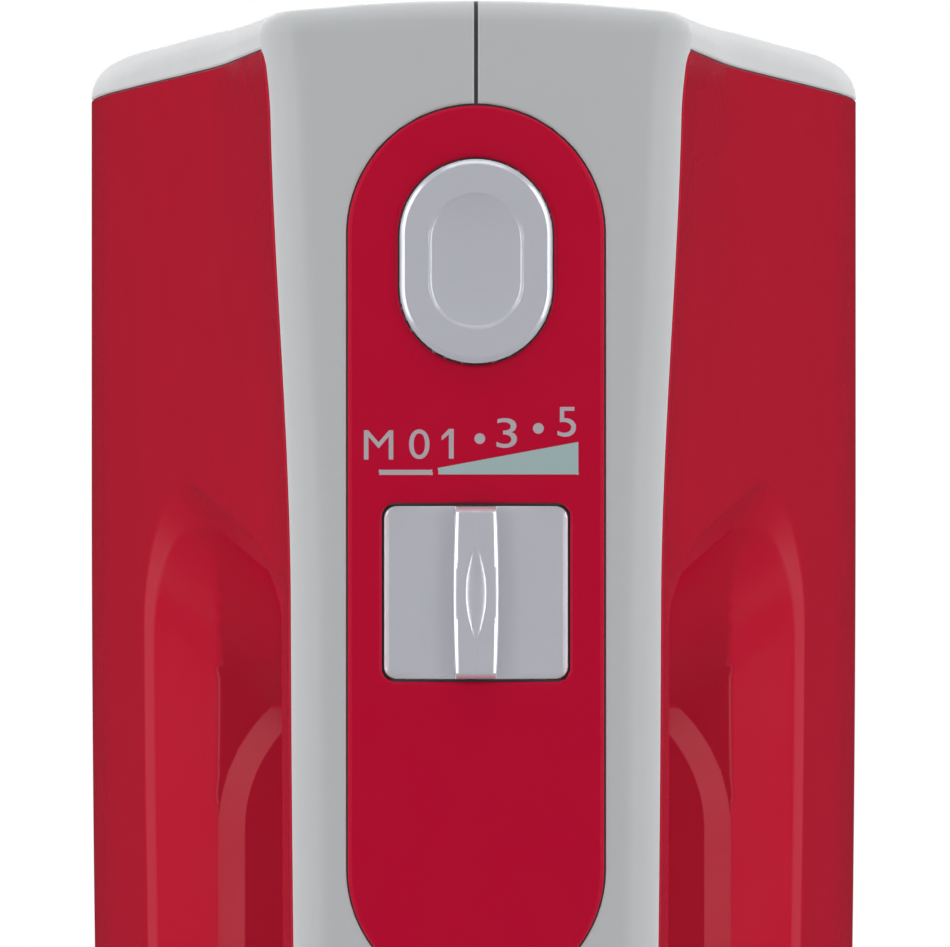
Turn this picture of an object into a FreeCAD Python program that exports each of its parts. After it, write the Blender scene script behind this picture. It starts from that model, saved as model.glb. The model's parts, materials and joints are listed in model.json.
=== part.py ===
import FreeCAD, Part

# Hand mixer with a closed-loop handle, parked upright on its heel.
#
# Row frame, in millimetres: Z runs up the motor's axis from the heel to the nose, -Y points to the top
# of the handle and +Y to the beaters, X is the width. The origin is where the motor's axis meets the
# heel pad's resting face.

import math
import os
import re

import Sketcher
from FreeCAD import Rotation, Vector

PARTS_FOLDER = "parts"
FULL_TURN = 360.0

# --- The driving dimensions, one spreadsheet cell each -----------------------------------------

SIZES = {
    # Housing envelope
    "total_length": 200.5,     # heel face to nose face
    "heel_face": 0.5,         # the hard heel face stands this far above the pad's resting face
    "handle_top_y": -100,
    "handle_base_y": -72,
    "handle_half": 21.7,      # widest, half way down its sides
    "handle_top_half": 20.3,
    "deck_y": -38,            # body surface under the handle
    "belly_y": 38,
    "top_half": 21.2,         # half width of the pillars at the handle's top
    "waist_half": 48.9,       # corner of the outline before it is rounded
    "waist_y": 8,
    "belly_half": 40,
    "gap_low": 42,            # finger gap, from the rear pillar to the front pillar
    "gap_high": 138,
    "gap_round": 18.5,        # where the pillars meet the deck
    "gap_round_top": 12,      # where they meet the handle
    "flare_half": 28.6,       # the gap opens out at 45 degrees beyond this half width
    "top_round": 5,           # roundings of the outline, from the handle's top to the belly
    "waist_round": 40,
    "belly_round": 17,
    "handle_top_round": 4.5,  # roundings of the handle's own section
    "handle_side_round": 12,
    "handle_base_round": 9,
    "nose_round": 6,
    "heel_round": 10,
    # Skins and joints
    "cover_skin": 1.6,        # coloured side covers
    "body_wall": 3.8,         # cover and shell together
    "handle_wall": 3.0,
    "joint": 0.35,            # open joint between neighbouring mouldings
    "cover_top_y": -96.5,
    "cover_low_y": 18,
    "nose_band": 4.2,
    "heel_band": 9,
    "spine_half": 8,          # shell strip that stays between the covers under the handle
    # Control panel
    "panel_half": 13.8,
    "panel_top": 189,
    "panel_bottom": 93,
    "panel_thick": 1.7,
    "panel_seat_y": -98.7,
    "panel_window_half": 10.15,
    "button_half": 8.2,
    "button_reach": 10.95,
    "button_z": 172.2,
    "button_face_y": -101.6,
    "button_deep": 4.4,
    "spring_seat_y": -80,
    # Speed selector, an arc that turns inside the handle
    "dial_z": 136.6,
    "dial_half": 9.35,
    "dial_axis_y": -77,
    "dial_radius": 23.5,
    "dial_skin": 1.8,
    "board_y": -80.5,
    "board_low": 62,
    "board_high": 121,
    "dial_swing": 11,         # degrees to either side of the middle marking
    # Motor
    "shaft_radius": 2.5,
    "bearing_outer": 5.5,
    "bearing_length": 8,
    "rear_bracket_z": 34,
    "front_bracket_z": 124,
    "bracket_radius": 26,
    "stack_low": 68,
    "stack_high": 98,
    "stack_half_x": 28,
    "stack_half_y": 23,
    "core_radius": 15,
    "air_gap": 0.8,
    "commutator_low": 46,
    "commutator_high": 60,
    "commutator_radius": 9,
    "fan_low": 110,
    "fan_radius": 21,
    # Drive train
    "beater_x": 20.5,
    "beater_z": 170,
    "worm_pitch_radius": 4.5,
    "worm_tip_radius": 5.6,
    "worm_root_radius": 3.1,
    "worm_starts": 2,
    "worm_half": 17,
    "gear_teeth": 24,
    "gear_width": 9,
    "gear_tip_radius": 17.1,
    "gear_root_radius": 14.55,
    "tooth_share": 0.4,       # tooth thickness over pitch
    "spindle_radius": 6,
    "spindle_bore": 3.05,
    "spindle_top_y": -20,
    "spindle_end_y": 36.5,
    "frame_plate_y": 9,
    "frame_plate_thick": 3,
    # Beaters
    "shank_radius": 3.0,
    "shank_top_y": -16,
    "beater_tip_y": 143,
    "cage_radius": 21.5,
    "cage_high_y": 66,
    "wire_radius": 1.1,
    # Cord inlet
    "gland_z": 20,
    "gland_bore": 3.6,
    "gland_outer": 6.3,
    "running": 0.04,          # radial running clearance
}

doc = FreeCAD.newDocument("hand_mixer")
sheet = doc.addObject("Spreadsheet::Sheet", "Sizes")
for row, (alias, number) in enumerate(SIZES.items(), start=1):
    sheet.set(f"A{row}", alias)
    sheet.set(f"B{row}", str(number))
    sheet.setAlias(f"B{row}", alias)
doc.recompute()

NODES = {}


def bound(text):
    """A size written with bare cell names, as an expression on the sheet."""
    def cell(match):
        word = match.group(0)
        return "Sizes." + word if word in SIZES else word

    return re.sub(r"[a-z_]{3,}", cell, str(text))


def amount(text):
    """The number that such a size comes to now."""
    return float(sheet.evalExpression(bound(text)))


def node(obj, label):
    """Names an object as a sub-part of its own."""
    obj.Label = label
    NODES[label] = obj
    return obj


def place(obj, x="0", y="0", z="0", turn=None):
    """Binds an object's position to the sheet, after an optional fixed turn."""
    if turn:
        obj.Placement = FreeCAD.Placement(Vector(), turn)
    for letter, text in (("x", x), ("y", y), ("z", z)):
        obj.setExpression(f"Placement.Base.{letter}", bound(text))
    return obj


# --- Part primitives and booleans --------------------------------------------------------------

ALONG = {"X": Rotation(Vector(0, 1, 0), 90), "Y": Rotation(Vector(1, 0, 0), -90), "Z": Rotation()}


def block(low, high):
    """A box between two corners, each three sizes."""
    box = doc.addObject("Part::Box", "Block")
    for side, a, b in zip(("Length", "Width", "Height"), low, high):
        box.setExpression(side, bound(f"({b}) - ({a})"))
    return place(box, *low)


def rod(radius, length, x="0", y="0", z="0", along="Z"):
    """A cylinder that starts at x, y, z and runs along an axis."""
    cylinder = doc.addObject("Part::Cylinder", "Rod")
    cylinder.setExpression("Radius", bound(radius))
    cylinder.setExpression("Height", bound(length))
    return place(cylinder, x, y, z, ALONG[along])


def fuse(*parts):
    joined = doc.addObject("Part::MultiFuse", "Fuse")
    joined.Shapes = list(parts)
    joined.Refine = True
    return joined


def cut(base, *tools):
    made = doc.addObject("Part::Cut", "Cut")
    made.Base = base
    made.Tool = tools[0] if len(tools) == 1 else fuse(*tools)
    made.Refine = True
    return made


def mirrored(source, normal=Vector(1, 0, 0)):
    twin = doc.addObject("Part::Mirroring", "Mirror")
    twin.Source = source
    twin.Normal = normal
    return twin


def feature(shape, label):
    """A sub-part whose shape is worked out by this script."""
    made = doc.addObject("Part::Feature", label)
    made.Shape = shape
    made.Placement = shape.Placement
    return node(made, label)


# --- PartDesign bodies -------------------------------------------------------------------------

def new_body(label):
    return node(doc.addObject("PartDesign::Body", label), label)


def sketch_on(body, role):
    sketch = body.newObject("Sketcher::SketchObject", "Outline")
    support = next(f for f in body.Origin.OriginFeatures if f.Role == role)
    sketch.AttachmentSupport = [(support, "")]
    sketch.MapMode = "FlatFace"
    return sketch


def pin_point(sketch, geometry, position, u, v):
    """Ties a sketch point to two sizes measured from the sketch's origin."""
    for kind, text in (("DistanceX", u), ("DistanceY", v)):
        tie = sketch.addConstraint(Sketcher.Constraint(kind, -1, 1, geometry, position, amount(text)))
        sketch.setExpression(f"Constraints[{tie}]", bound(text))


def polygon(body, role, points):
    """A closed outline of straight lines through points that are each two sizes."""
    sketch = sketch_on(body, role)
    spots = [Vector(amount(u), amount(v), 0) for u, v in points]
    count = len(points)
    for i in range(count):
        sketch.addGeometry(Part.LineSegment(spots[i], spots[(i + 1) % count]), False)
    for i in range(count):
        sketch.addConstraint(Sketcher.Constraint("Coincident", i, 2, (i + 1) % count, 1))
    for i, (u, v) in enumerate(points):
        pin_point(sketch, i, 1, u, v)
    return sketch


def rectangle(body, role, u0, v0, u1, v1):
    return polygon(body, role, [(u0, v0), (u1, v0), (u1, v1), (u0, v1)])


def circle(body, role, radius, u="0", v="0"):
    sketch = sketch_on(body, role)
    sketch.addGeometry(Part.Circle(Vector(amount(u), amount(v), 0), Vector(0, 0, 1), amount(radius)), False)
    tie = sketch.addConstraint(Sketcher.Constraint("Radius", 0, amount(radius)))
    sketch.setExpression(f"Constraints[{tie}]", bound(radius))
    pin_point(sketch, 0, 3, u, v)
    return sketch


def stadium(body, role, half_width, half_length, v_middle="0"):
    """A slot outline whose straight sides run along the sketch's vertical."""
    sketch = sketch_on(body, role)
    radius = amount(half_width)
    middle = amount(v_middle)
    rise = amount(half_length) - radius
    top, bottom = Vector(0, middle + rise, 0), Vector(0, middle - rise, 0)
    up = Vector(0, 0, 1)
    sketch.addGeometry(Part.ArcOfCircle(Part.Circle(top, up, radius), 0, math.pi), False)
    sketch.addGeometry(Part.LineSegment(top - Vector(radius, 0, 0), bottom - Vector(radius, 0, 0)), False)
    sketch.addGeometry(Part.ArcOfCircle(Part.Circle(bottom, up, radius), math.pi, 2 * math.pi), False)
    sketch.addGeometry(Part.LineSegment(bottom + Vector(radius, 0, 0), top + Vector(radius, 0, 0)), False)
    for i in range(4):
        sketch.addConstraint(Sketcher.Constraint("Tangent", i, 2, (i + 1) % 4, 1))
    for arc, side in ((0, "+"), (2, "-")):
        tie = sketch.addConstraint(Sketcher.Constraint("Radius", arc, radius))
        sketch.setExpression(f"Constraints[{tie}]", bound(half_width))
        pin_point(sketch, arc, 3, "0", f"({v_middle}) {side} (({half_length}) - ({half_width}))")
    return sketch


def pad(body, sketch, length, backwards=False):
    made = body.newObject("PartDesign::Pad", "Pad")
    made.Profile = sketch
    made.setExpression("Length", bound(length))
    made.Reversed = backwards
    return made


def pocket(body, sketch, depth, backwards=False):
    made = body.newObject("PartDesign::Pocket", "Pocket")
    made.Profile = sketch
    made.setExpression("Length", bound(depth))
    made.Reversed = backwards
    return made


def pattern(body, original, count, axis="Z_Axis"):
    """Repeats a feature round the body's own axis."""
    ring = body.newObject("PartDesign::PolarPattern", "Ring")
    ring.Originals = [original]
    ring.Axis = (next(f for f in body.Origin.OriginFeatures if f.Role == axis), [""])
    ring.Angle = FULL_TURN
    ring.Occurrences = count
    body.Tip = ring
    return ring


def soften(body, direction, radius):
    """Rounds every straight edge of the body's last feature that runs along a direction."""
    doc.recompute()
    base = body.Tip
    chosen = []
    for number, edge in enumerate(base.Shape.Edges, start=1):
        straight = isinstance(edge.Curve, Part.Line)
        if straight and abs(edge.tangentAt(edge.FirstParameter).dot(direction)) > 0.999:
            chosen.append(f"Edge{number}")
    rounded = body.newObject("PartDesign::Fillet", "Fillet")
    rounded.Base = (base, chosen)
    rounded.setExpression("Radius", bound(radius))
    return rounded


TURN_PLANES = {"Z": ("XZ_Plane", "V_Axis"), "Y": ("XY_Plane", "V_Axis"), "X": ("XY_Plane", "H_Axis")}


def turned(label, profile, along="Z", **where):
    """A turned piece: its profile is a list of (radius, station along the axis)."""
    body = new_body(label)
    role, axis = TURN_PLANES[along]
    points = [(s, r) for r, s in profile] if along == "X" else profile
    sketch = polygon(body, role, points)
    lathe = body.newObject("PartDesign::Revolution", "Turn")
    lathe.Profile = sketch
    lathe.ReferenceAxis = (sketch, [axis])
    lathe.Angle = FULL_TURN
    return place(body, **where)


def sleeve(inner, outer, low, high):
    """The profile of a plain bush."""
    return [(inner, low), (outer, low), (outer, high), (inner, high)]


def group(label, source, places):
    """One sub-part made of equal pieces, each a copy of source moved by a vector."""
    doc.recompute()
    copies = [source.Shape.translated(Vector(*spot)) for spot in places]
    NODES.pop(source.Label, None)
    source.Label = label + "_pattern"
    return feature(Part.makeCompound(copies), label)


# --- Housing envelope --------------------------------------------------------------------------

def rounded_wire(corners, height):
    """A closed wire at a height, from (x, y, corner radius) corners in order."""
    edges, ends = [], []
    count = len(corners)
    for i, (x, y, radius) in enumerate(corners):
        here = Vector(x, y, height)
        before = Vector(*corners[i - 1][:2], height) - here
        after = Vector(*corners[(i + 1) % count][:2], height) - here
        before.normalize()
        after.normalize()
        half = before.getAngle(after) / 2
        if radius == 0:
            ends.append((here, here))
            continue
        reach = radius / math.tan(half)
        start, stop = here + before * reach, here + after * reach
        inward = before + after
        inward.normalize()
        middle = here + inward * (radius / math.sin(half) - radius)
        edges.append((i, Part.Arc(start, middle, stop).toShape()))
        ends.append((start, stop))
    arcs = dict(edges)
    run = []
    for i in range(count):
        if i in arcs:
            run.append(arcs[i])
        run.append(Part.LineSegment(ends[i][1], ends[(i + 1) % count][0]).toShape())
    return Part.Wire(run)


def bell(inset):
    """The closed outline seen along the mixer's length: handle, flared sides and belly."""
    top, belly = amount("handle_top_y"), amount("belly_y")
    right = [
        (amount("top_half"), top, amount("top_round")),
        (amount("waist_half"), amount("waist_y"), amount("waist_round")),
        (amount("belly_half"), belly, amount("belly_round")),
    ]
    left = [(-x, y, radius) for x, y, radius in reversed(right)]
    wire = rounded_wire(right + left, 0)
    return Part.Face(wire).makeOffset2D(-inset) if inset else Part.Face(wire)


def edges_at(shape, height):
    """The edges that lie wholly in one level plane."""
    def level(edge):
        return max(abs(edge.BoundBox.ZMin - height), abs(edge.BoundBox.ZMax - height)) < 1e-4

    return [edge for edge in shape.Edges if level(edge)]


HANDLE_TAPER = 2.5            # how much narrower the handle's underside is than its middle


def handle_bar(inset):
    """The handle between the pillars: a crowned top strip, bulged sides and a rounded underside."""
    half, crown = amount("handle_half") - inset, amount("handle_top_half") - inset
    top, base = amount("handle_top_y") + inset, amount("handle_base_y") - inset
    bulge = amount("(handle_top_y + handle_base_y) / 2")
    right = [
        (crown, top, amount("handle_top_round") - inset / 2),
        (half, bulge, amount("handle_side_round")),
        (half - HANDLE_TAPER, base, amount("handle_base_round") - inset / 2),
    ]
    left = [(-x, y, radius) for x, y, radius in reversed(right)]
    return Part.Face(rounded_wire(right + left, 0)).extrude(Vector(0, 0, amount("total_length")))


def gap_outline(grown, x, ceiling_round=0.5):
    """The finger gap's outline in a plane across the width, grown all round."""
    low, high = amount("gap_low") - grown, amount("gap_high") + grown
    deck, ceiling = amount("deck_y") + grown, amount("handle_base_y") - grown
    big, small = amount("gap_round") + grown, ceiling_round + grown
    corners = [(low, ceiling, small), (high, ceiling, small), (high, deck, big), (low, deck, big)]
    wire = rounded_wire(corners, 0)
    wire.rotate(Vector(), Vector(0, 1, 0), -90)      # the outline's x becomes the row's Z
    wire.translate(Vector(x, 0, 0))
    return wire


def scoop(inset):
    """The space that the finger gap takes out of the bell, round and under the handle."""
    outside, reach = amount("handle_top_y") - 12, 60.0
    base, low, high = amount("handle_base_y"), amount("gap_low"), amount("gap_high")
    start = amount("flare_half") - inset * math.tan(math.radians(22.5))
    under_handle = amount("handle_half") - inset
    across = Vector(1, 0, 0)
    round_ends = gap_outline(inset, -under_handle, amount("gap_round_top"))
    middle = Part.Face(round_ends).extrude(across * 2 * under_handle)
    outer = Part.Face(gap_outline(inset, under_handle)).extrude(across * (start - under_handle))
    flare = Part.makeLoft([gap_outline(inset, start), gap_outline(inset + reach - start, reach)], True, True)
    flare = flare.common(box_shape((0, base - inset, -100), (reach, 100, 300)))
    beside = box_shape((-reach, outside, low - inset), (reach, base, high + inset)).cut(handle_bar(inset))
    sides = [outer, flare]
    sides += [shape.mirror(Vector(), across) for shape in sides]
    return middle.fuse(sides + [beside])


def envelope(inset):
    """The housing's outer form, or the same form with every face moved inwards."""
    low, high = amount("heel_face") + inset, amount("total_length") - inset
    prism = bell(inset).extrude(Vector(0, 0, high - low))
    prism.translate(Vector(0, 0, low))
    for height, radius in ((high, amount("nose_round")), (low, amount("heel_round"))):
        prism = prism.makeFillet(max(radius - inset, 0.8), edges_at(prism, height))
    return prism.cut(scoop(inset))


def box_shape(low, high):
    size = [b - a for a, b in zip(low, high)]
    return Part.makeBox(*size, Vector(*low))


def cover_region(grown):
    """Where the coloured side cover lies on the +X side, grown all round by a clearance."""
    top, low = amount("cover_top_y") - grown, amount("cover_low_y") + grown
    heel, nose = amount("heel_band") - grown, amount("total_length - nose_band") + grown
    return box_shape((amount("spine_half") - grown, top, heel), (60, low, nose))


def slot_prism(half_width, half_length, z, low_y, high_y):
    """A stadium-shaped solid that runs along Y, its straight sides along Z."""
    rise = half_length - half_width
    across = Vector(0, 1, 0)
    starts = [Vector(0, low_y, z + side * rise) for side in (-1, 1)]
    ends = [Part.makeCylinder(half_width, high_y - low_y, start, across) for start in starts]
    middle = box_shape((-half_width, low_y, z - rise), (half_width, high_y, z + rise))
    return ends[0].fuse([ends[1], middle]).removeSplitter()


SCREW_SPOTS = [(4, 16), (29, 132), (-56, 20), (-56, 188)]      # y, z of the housing screws
BOSS_RADIUS, SCREW_HOLE, HEAD_HOLE, HEAD_SEAT_X = 4.0, 1.5, 3.3, 22.0
RIBS = [(37.5, "bracket_radius"), (127.0, "bracket_radius")]    # z of each motor rib and what it holds
RIB_THICK = 3.0
VENT_ROWS = [52 + 6.5 * i for i in range(3)] + [106 + 6.5 * i for i in range(4)]
SOCKET_PLATE_HALF, SOCKET_PLATE_ROUND = 31.5, 11.0
HEEL_PAD = (24.0, -46.0, 28.0)                                  # half width, low y, high y
BUTTON_FLANGE = 1.1
STEM_HOLE = 4.0                                                 # for the eject fork, in the spring's shelf
PIVOT_RADIUS = 1.5
BOARD_THICK = 1.5
COVER_GLUE = 0.1                                                # adhesive gap behind the side covers


def duct_supports():
    """Posts in the handle for the selector's pivot, and pegs that the circuit board rests on."""
    floor, axis_y = amount("handle_base_y - handle_wall") + 0.5, amount("dial_axis_y")
    reach = amount("dial_half") + 1.5
    posts = []
    for z in (amount("dial_z") - reach - 2.5, amount("dial_z") + reach):
        post = box_shape((-4, axis_y - 3, z), (4, floor, z + 2.5))
        posts.append(post.cut(Part.makeCylinder(PIVOT_RADIUS + 0.02, 10, Vector(0, axis_y, z - 2))))
    board_base = amount("board_y") + BOARD_THICK
    for x in (-11, 11):
        for z in (67, 116):
            posts.append(box_shape((x - 1.5, board_base, z - 1.5), (x + 1.5, floor, z + 1.5)))
    return posts


def shell_halves():
    """Left and right housing mouldings with their bosses, ribs, seats and openings."""
    outer = envelope(0)
    hollow = envelope(amount("body_wall"))
    wall = amount("handle_wall")
    half, top = amount("handle_half") - wall - 0.4, amount("handle_top_y") + wall
    duct = box_shape((-half, top, 14), (half, amount("handle_base_y") - wall, amount("total_length") - 6))
    under_cover = outer.cut(envelope(amount("cover_skin") + COVER_GLUE)).common(cover_region(amount("joint")))
    both = under_cover.mirror(Vector(), Vector(1, 0, 0))
    body = outer.cut([hollow, duct, under_cover, both])

    inner = envelope(amount("body_wall") - 0.5)
    for z, hole in RIBS:
        layer = box_shape((-60, amount("deck_y"), z - RIB_THICK / 2), (60, 60, z + RIB_THICK / 2))
        slab = inner.common(layer)
        seat = Part.makeCylinder(amount(hole) + 0.1, 10, Vector(0, 0, z - 5))
        body = body.fuse(slab.cut(seat))
    seat_y, seat_z = amount("spring_seat_y"), amount("button_z")
    shelf = box_shape((-30, seat_y, seat_z - 10), (30, seat_y + 2, seat_z + 10)).common(inner)
    body = body.fuse([shelf] + duct_supports())
    for y, z in SCREW_SPOTS:
        boss = Part.makeCylinder(BOSS_RADIUS, 120, Vector(-60, y, z), Vector(1, 0, 0)).common(inner)
        body = body.fuse(boss)

    window_reach = amount("dial_half") + 0.6
    dial_z, gland_z = amount("dial_z"), amount("gland_z")
    openings = [
        slot_prism(amount("panel_half") + 0.25, amount("(panel_top - panel_bottom) / 2") + 0.25,
                   amount("(panel_top + panel_bottom) / 2"), -120, amount("panel_seat_y")),
        slot_prism(amount("button_half") + BUTTON_FLANGE + 0.5, amount("button_reach") + BUTTON_FLANGE + 0.5,
                   amount("button_z"), -110, -90),
        box_shape((-13.5, -110, dial_z - window_reach), (13.5, -95, dial_z + window_reach)),
        Part.makeCylinder(amount("gland_outer") + 0.05, 30, Vector(0, 20, gland_z), Vector(0, 1, 0)),
        box_shape((-HEEL_PAD[0] - 0.1, HEEL_PAD[1] - 0.1, 0), (HEEL_PAD[0] + 0.1, HEEL_PAD[2] + 0.1, 1.6)),
        socket_plate_shape(0.2, 30, 60),
    ]
    for z in VENT_ROWS:
        for side in (-1, 1):
            centre = 15 * side
            openings.append(box_shape((centre - 8, 30, z - 1.1), (centre + 8, 45, z + 1.1)))
    openings.append(Part.makeCylinder(STEM_HOLE, 10, Vector(0, seat_y - 4, seat_z), Vector(0, 1, 0)))
    for y, z in SCREW_SPOTS:
        openings.append(Part.makeCylinder(SCREW_HOLE, 60, Vector(-10, y, z), Vector(1, 0, 0)))
        openings.append(Part.makeCylinder(HEAD_HOLE, 60, Vector(HEAD_SEAT_X, y, z), Vector(1, 0, 0)))
    body = body.cut(openings)

    seam = amount("joint") / 2
    right = body.common(box_shape((seam, -150, -10), (80, 80, 260)))
    left = body.common(box_shape((-80, -150, -10), (-seam, 80, 260)))
    return left, right


def largest_solid(shape):
    return max(shape.Solids, key=lambda solid: solid.Volume)


def socket_plate_shape(grown, low_y, high_y):
    """The plate in the belly that both beater sockets come out of."""
    half, radius, z = SOCKET_PLATE_HALF + grown, SOCKET_PLATE_ROUND + grown, amount("beater_z")
    starts = [Vector(side * (half - radius), low_y, z) for side in (-1, 1)]
    spots = [Part.makeCylinder(radius, high_y - low_y, start, Vector(0, 1, 0)) for start in starts]
    middle = box_shape((-(half - radius), low_y, z - radius), (half - radius, high_y, z + radius))
    return spots[0].fuse([spots[1], middle]).removeSplitter()


def make_housing():
    left, right = shell_halves()
    feature(largest_solid(left), "left_shell")
    feature(largest_solid(right), "right_shell")
    cover = envelope(0).cut(envelope(amount("cover_skin"))).common(cover_region(0))
    cover = largest_solid(cover)
    feature(cover, "right_side_cover")
    feature(cover.mirror(Vector(), Vector(1, 0, 0)), "left_side_cover")


def make_socket_plate():
    """Its outer face follows the belly, and it is open for the spindles."""
    belly = amount("belly_y")
    plate = socket_plate_shape(0, belly - 4.0, belly + 0.6)
    for side in (-1, 1):
        spot = Vector(side * amount("beater_x"), belly - 10, amount("beater_z"))
        plate = plate.cut(Part.makeCylinder(amount("spindle_radius") + 1.0, 20, spot, Vector(0, 1, 0)))
    feature(plate, "socket_plate")


def make_heel_pad():
    body = new_body("heel_pad")
    half, low, high = HEEL_PAD
    pad(body, rectangle(body, "XY_Plane", -half, low, half, high), "1.6")
    soften(body, Vector(0, 0, 1), 8)


# --- Controls ----------------------------------------------------------------------------------

def make_control_panel():
    body = new_body("control_panel")
    middle, reach = "(panel_top + panel_bottom) / 2", "(panel_top - panel_bottom) / 2"
    pad(body, stadium(body, "XZ_Plane", "panel_half", reach, middle), "panel_thick")
    doc.recompute()
    opening = stadium(body, "XZ_Plane", "button_half + joint", "button_reach + joint", "button_z")
    pocket(body, opening, "panel_thick + 1", backwards=True)
    window = rectangle(body, "XZ_Plane", "-panel_window_half", "dial_z - dial_half - joint",
                       "panel_window_half", "dial_z + dial_half + joint")
    pocket(body, window, "panel_thick + 1", backwards=True)
    place(body, y="panel_seat_y")


def make_eject_button():
    """Oval cap with a flange under the panel and a thumb recess."""
    body = new_body("eject_button")
    pad(body, stadium(body, "XZ_Plane", "button_half", "button_reach", "button_z"), "button_deep")
    doc.recompute()
    skirt_half, skirt_reach = (f"{size} + {BUTTON_FLANGE}" for size in ("button_half", "button_reach"))
    skirt = stadium(body, "XZ_Plane", skirt_half, skirt_reach, "button_z")
    pad(body, skirt, "button_deep + button_face_y - panel_seat_y - 0.1")
    place(body, y="button_face_y + button_deep")


def make_eject_fork():
    """Stem under the button, cross bar, and a pin into the top of each spindle."""
    z = "button_z"
    stem = rod(3.5, "-32 - (button_face_y + button_deep)", y="button_face_y + button_deep", z=z, along="Y")
    bar = block(("-beater_x - 4", "-34", "beater_z - 4"), ("beater_x + 4", "-30.5", "beater_z + 6"))
    pins = [rod(2.6, "shank_top_y - 0.3 + 31", x=f"{s} * beater_x", y="-31", z="beater_z", along="Y")
            for s in (-1, 1)]
    node(fuse(stem, bar, *pins), "eject_fork")


def coil(radius, wire, pitch, height, start, direction):
    """A round-wire compression spring."""
    helix = Part.makeHelix(pitch, height, radius)
    section = Part.Wire(Part.Circle(Vector(radius, 0, 0), Vector(0, 1, 0), wire).toShape())
    spring = Part.Wire(helix).makePipeShell([section], True, True)
    spring.Placement = FreeCAD.Placement(Vector(*start), Rotation(Vector(0, 0, 1), Vector(*direction)))
    return spring


def make_eject_spring():
    wire = 0.45
    start, end = amount("button_face_y + button_deep") + wire, amount("spring_seat_y") - wire
    spring = coil(5.0, wire, (end - start) / 6, end - start, (0, start, amount("button_z")), (0, 1, 0))
    feature(spring, "eject_spring")


def arc_plate(outer, inner, half_angle, z_low, z_high):
    """A sector of a ring about the selector's axis, opening towards the handle's top."""
    axis = Vector(0, amount("dial_axis_y"), z_low)
    start = -90 - half_angle
    solid = Part.makeCylinder(outer, z_high - z_low, axis, Vector(0, 0, 1), 2 * half_angle)
    if inner:
        solid = solid.cut(Part.makeCylinder(inner, z_high - z_low, axis))
    solid.rotate(axis, Vector(0, 0, 1), start)
    return solid


def make_speed_selector():
    """The bright cap with its thumb ridge, the rocker under it, the pivot and the detent spring."""
    z, half = amount("dial_z"), amount("dial_half")
    radius, skin = amount("dial_radius"), amount("dial_skin")
    reach = math.degrees(math.asin(amount("panel_window_half") / radius)) + amount("dial_swing") + 0.4
    axis_y = amount("dial_axis_y")
    cap = arc_plate(radius, radius - skin, reach, z - half, z + half)
    ridge = box_shape((-2.2, axis_y - radius - 2.0, z - half), (2.2, axis_y - radius + 1.0, z + half))
    feature(cap.fuse(ridge).removeSplitter(), "speed_slide")

    inner = radius - skin - 0.05
    webs = [arc_plate(inner, 0, 30, low, low + 2.0) for low in (z - half + 0.5, z + half - 2.5)]
    hub = Part.makeCylinder(3.4, 2 * half - 1.0, Vector(0, axis_y, z - half + 0.5))
    finger = box_shape((-1.2, axis_y - 13.5, 112), (1.2, axis_y - 10.5, z - half + 1.0))
    bore = Part.makeCylinder(PIVOT_RADIUS + 0.05, 60, Vector(0, axis_y, z - 30))
    rocker = hub.fuse(webs + [finger]).cut(bore)
    rocker = rocker.cut(box_shape((-30, axis_y + 0.9, z - 30), (30, axis_y + 20, z + 30)))
    feature(rocker.removeSplitter(), "selector_rocker")

    pin = Part.makeCylinder(PIVOT_RADIUS, 2 * half + 8, Vector(0, axis_y, z - half - 4))
    feature(pin, "selector_pivot")
    node(block(("-14", "-79", "dial_z - 2.5"), ("-5", "-78.2", "dial_z + 2.5")), "detent_spring")


def make_circuit():
    board = block(("-14", "board_y", "board_low"), ("14", f"board_y + {BOARD_THICK}", "board_high"))
    node(board, "circuit_board")
    case = block(("-9", "-92", "100"), ("9", "-80.5", "110"))
    slot = block(("-6.5", "-93", "108"), ("6.5", "-85", "112"))
    node(cut(case, slot), "speed_switch")
    parts = [
        block(("-11", "-89", "66"), ("3", "-80.5", "84")),
        rod("3.5", "7.5", x="8.5", y="-88", z="72", along="Y"),
        rod("4.2", "6.5", x="-6", y="-87", z="92", along="Y"),
        block(("4", "-88", "84"), ("12", "-80.5", "94")),
    ]
    node(fuse(*parts), "board_components")


# --- Motor -------------------------------------------------------------------------------------

def make_stator():
    body = new_body("stator_core")
    pad(body, rectangle(body, "XY_Plane", "-stack_half_x", "-stack_half_y", "stack_half_x", "stack_half_y"),
        "stack_high - stack_low")
    soften(body, Vector(0, 0, 1), 9)
    doc.recompute()
    pocket(body, circle(body, "XY_Plane", "core_radius + air_gap"), "stack_high - stack_low", backwards=True)
    near, far = "core_radius + 0.6", "core_radius + 7.2"
    for low, high in ((near, far), (f"-({far})", f"-({near})")):
        window = rectangle(body, "XY_Plane", low, "-13.8", high, "13.8")
        pocket(body, window, "stack_high - stack_low", backwards=True)
    place(body, z="stack_low")

    levels = (("stack_low - 7.5", "stack_low - 0.5"), ("stack_high + 0.5", "stack_high + 7.5"))

    def coil_bars(sign):
        near, far = sorted((sign * 4.0, sign * 13.2))
        out_low, out_high = sorted((sign * 4.0, sign * 22.0))
        end_low, end_high = sorted((sign * 16.6, sign * 22.0))
        bars = []
        for side in (-1, 1):
            inner, outer = sorted((side * 16.2, side * 21.8))
            bars.append(block((inner, near, "stack_low - 4"), (outer, far, "stack_high + 4")))
            for low, high in levels:
                bars.append(block((inner, out_low, low), (outer, out_high, high)))
        for low, high in levels:
            bars.append(block(("-21.8", end_low, low), ("21.8", end_high, high)))
        return fuse(*bars)

    node(fuse(coil_bars(-1), coil_bars(1)), "field_coils")


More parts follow.
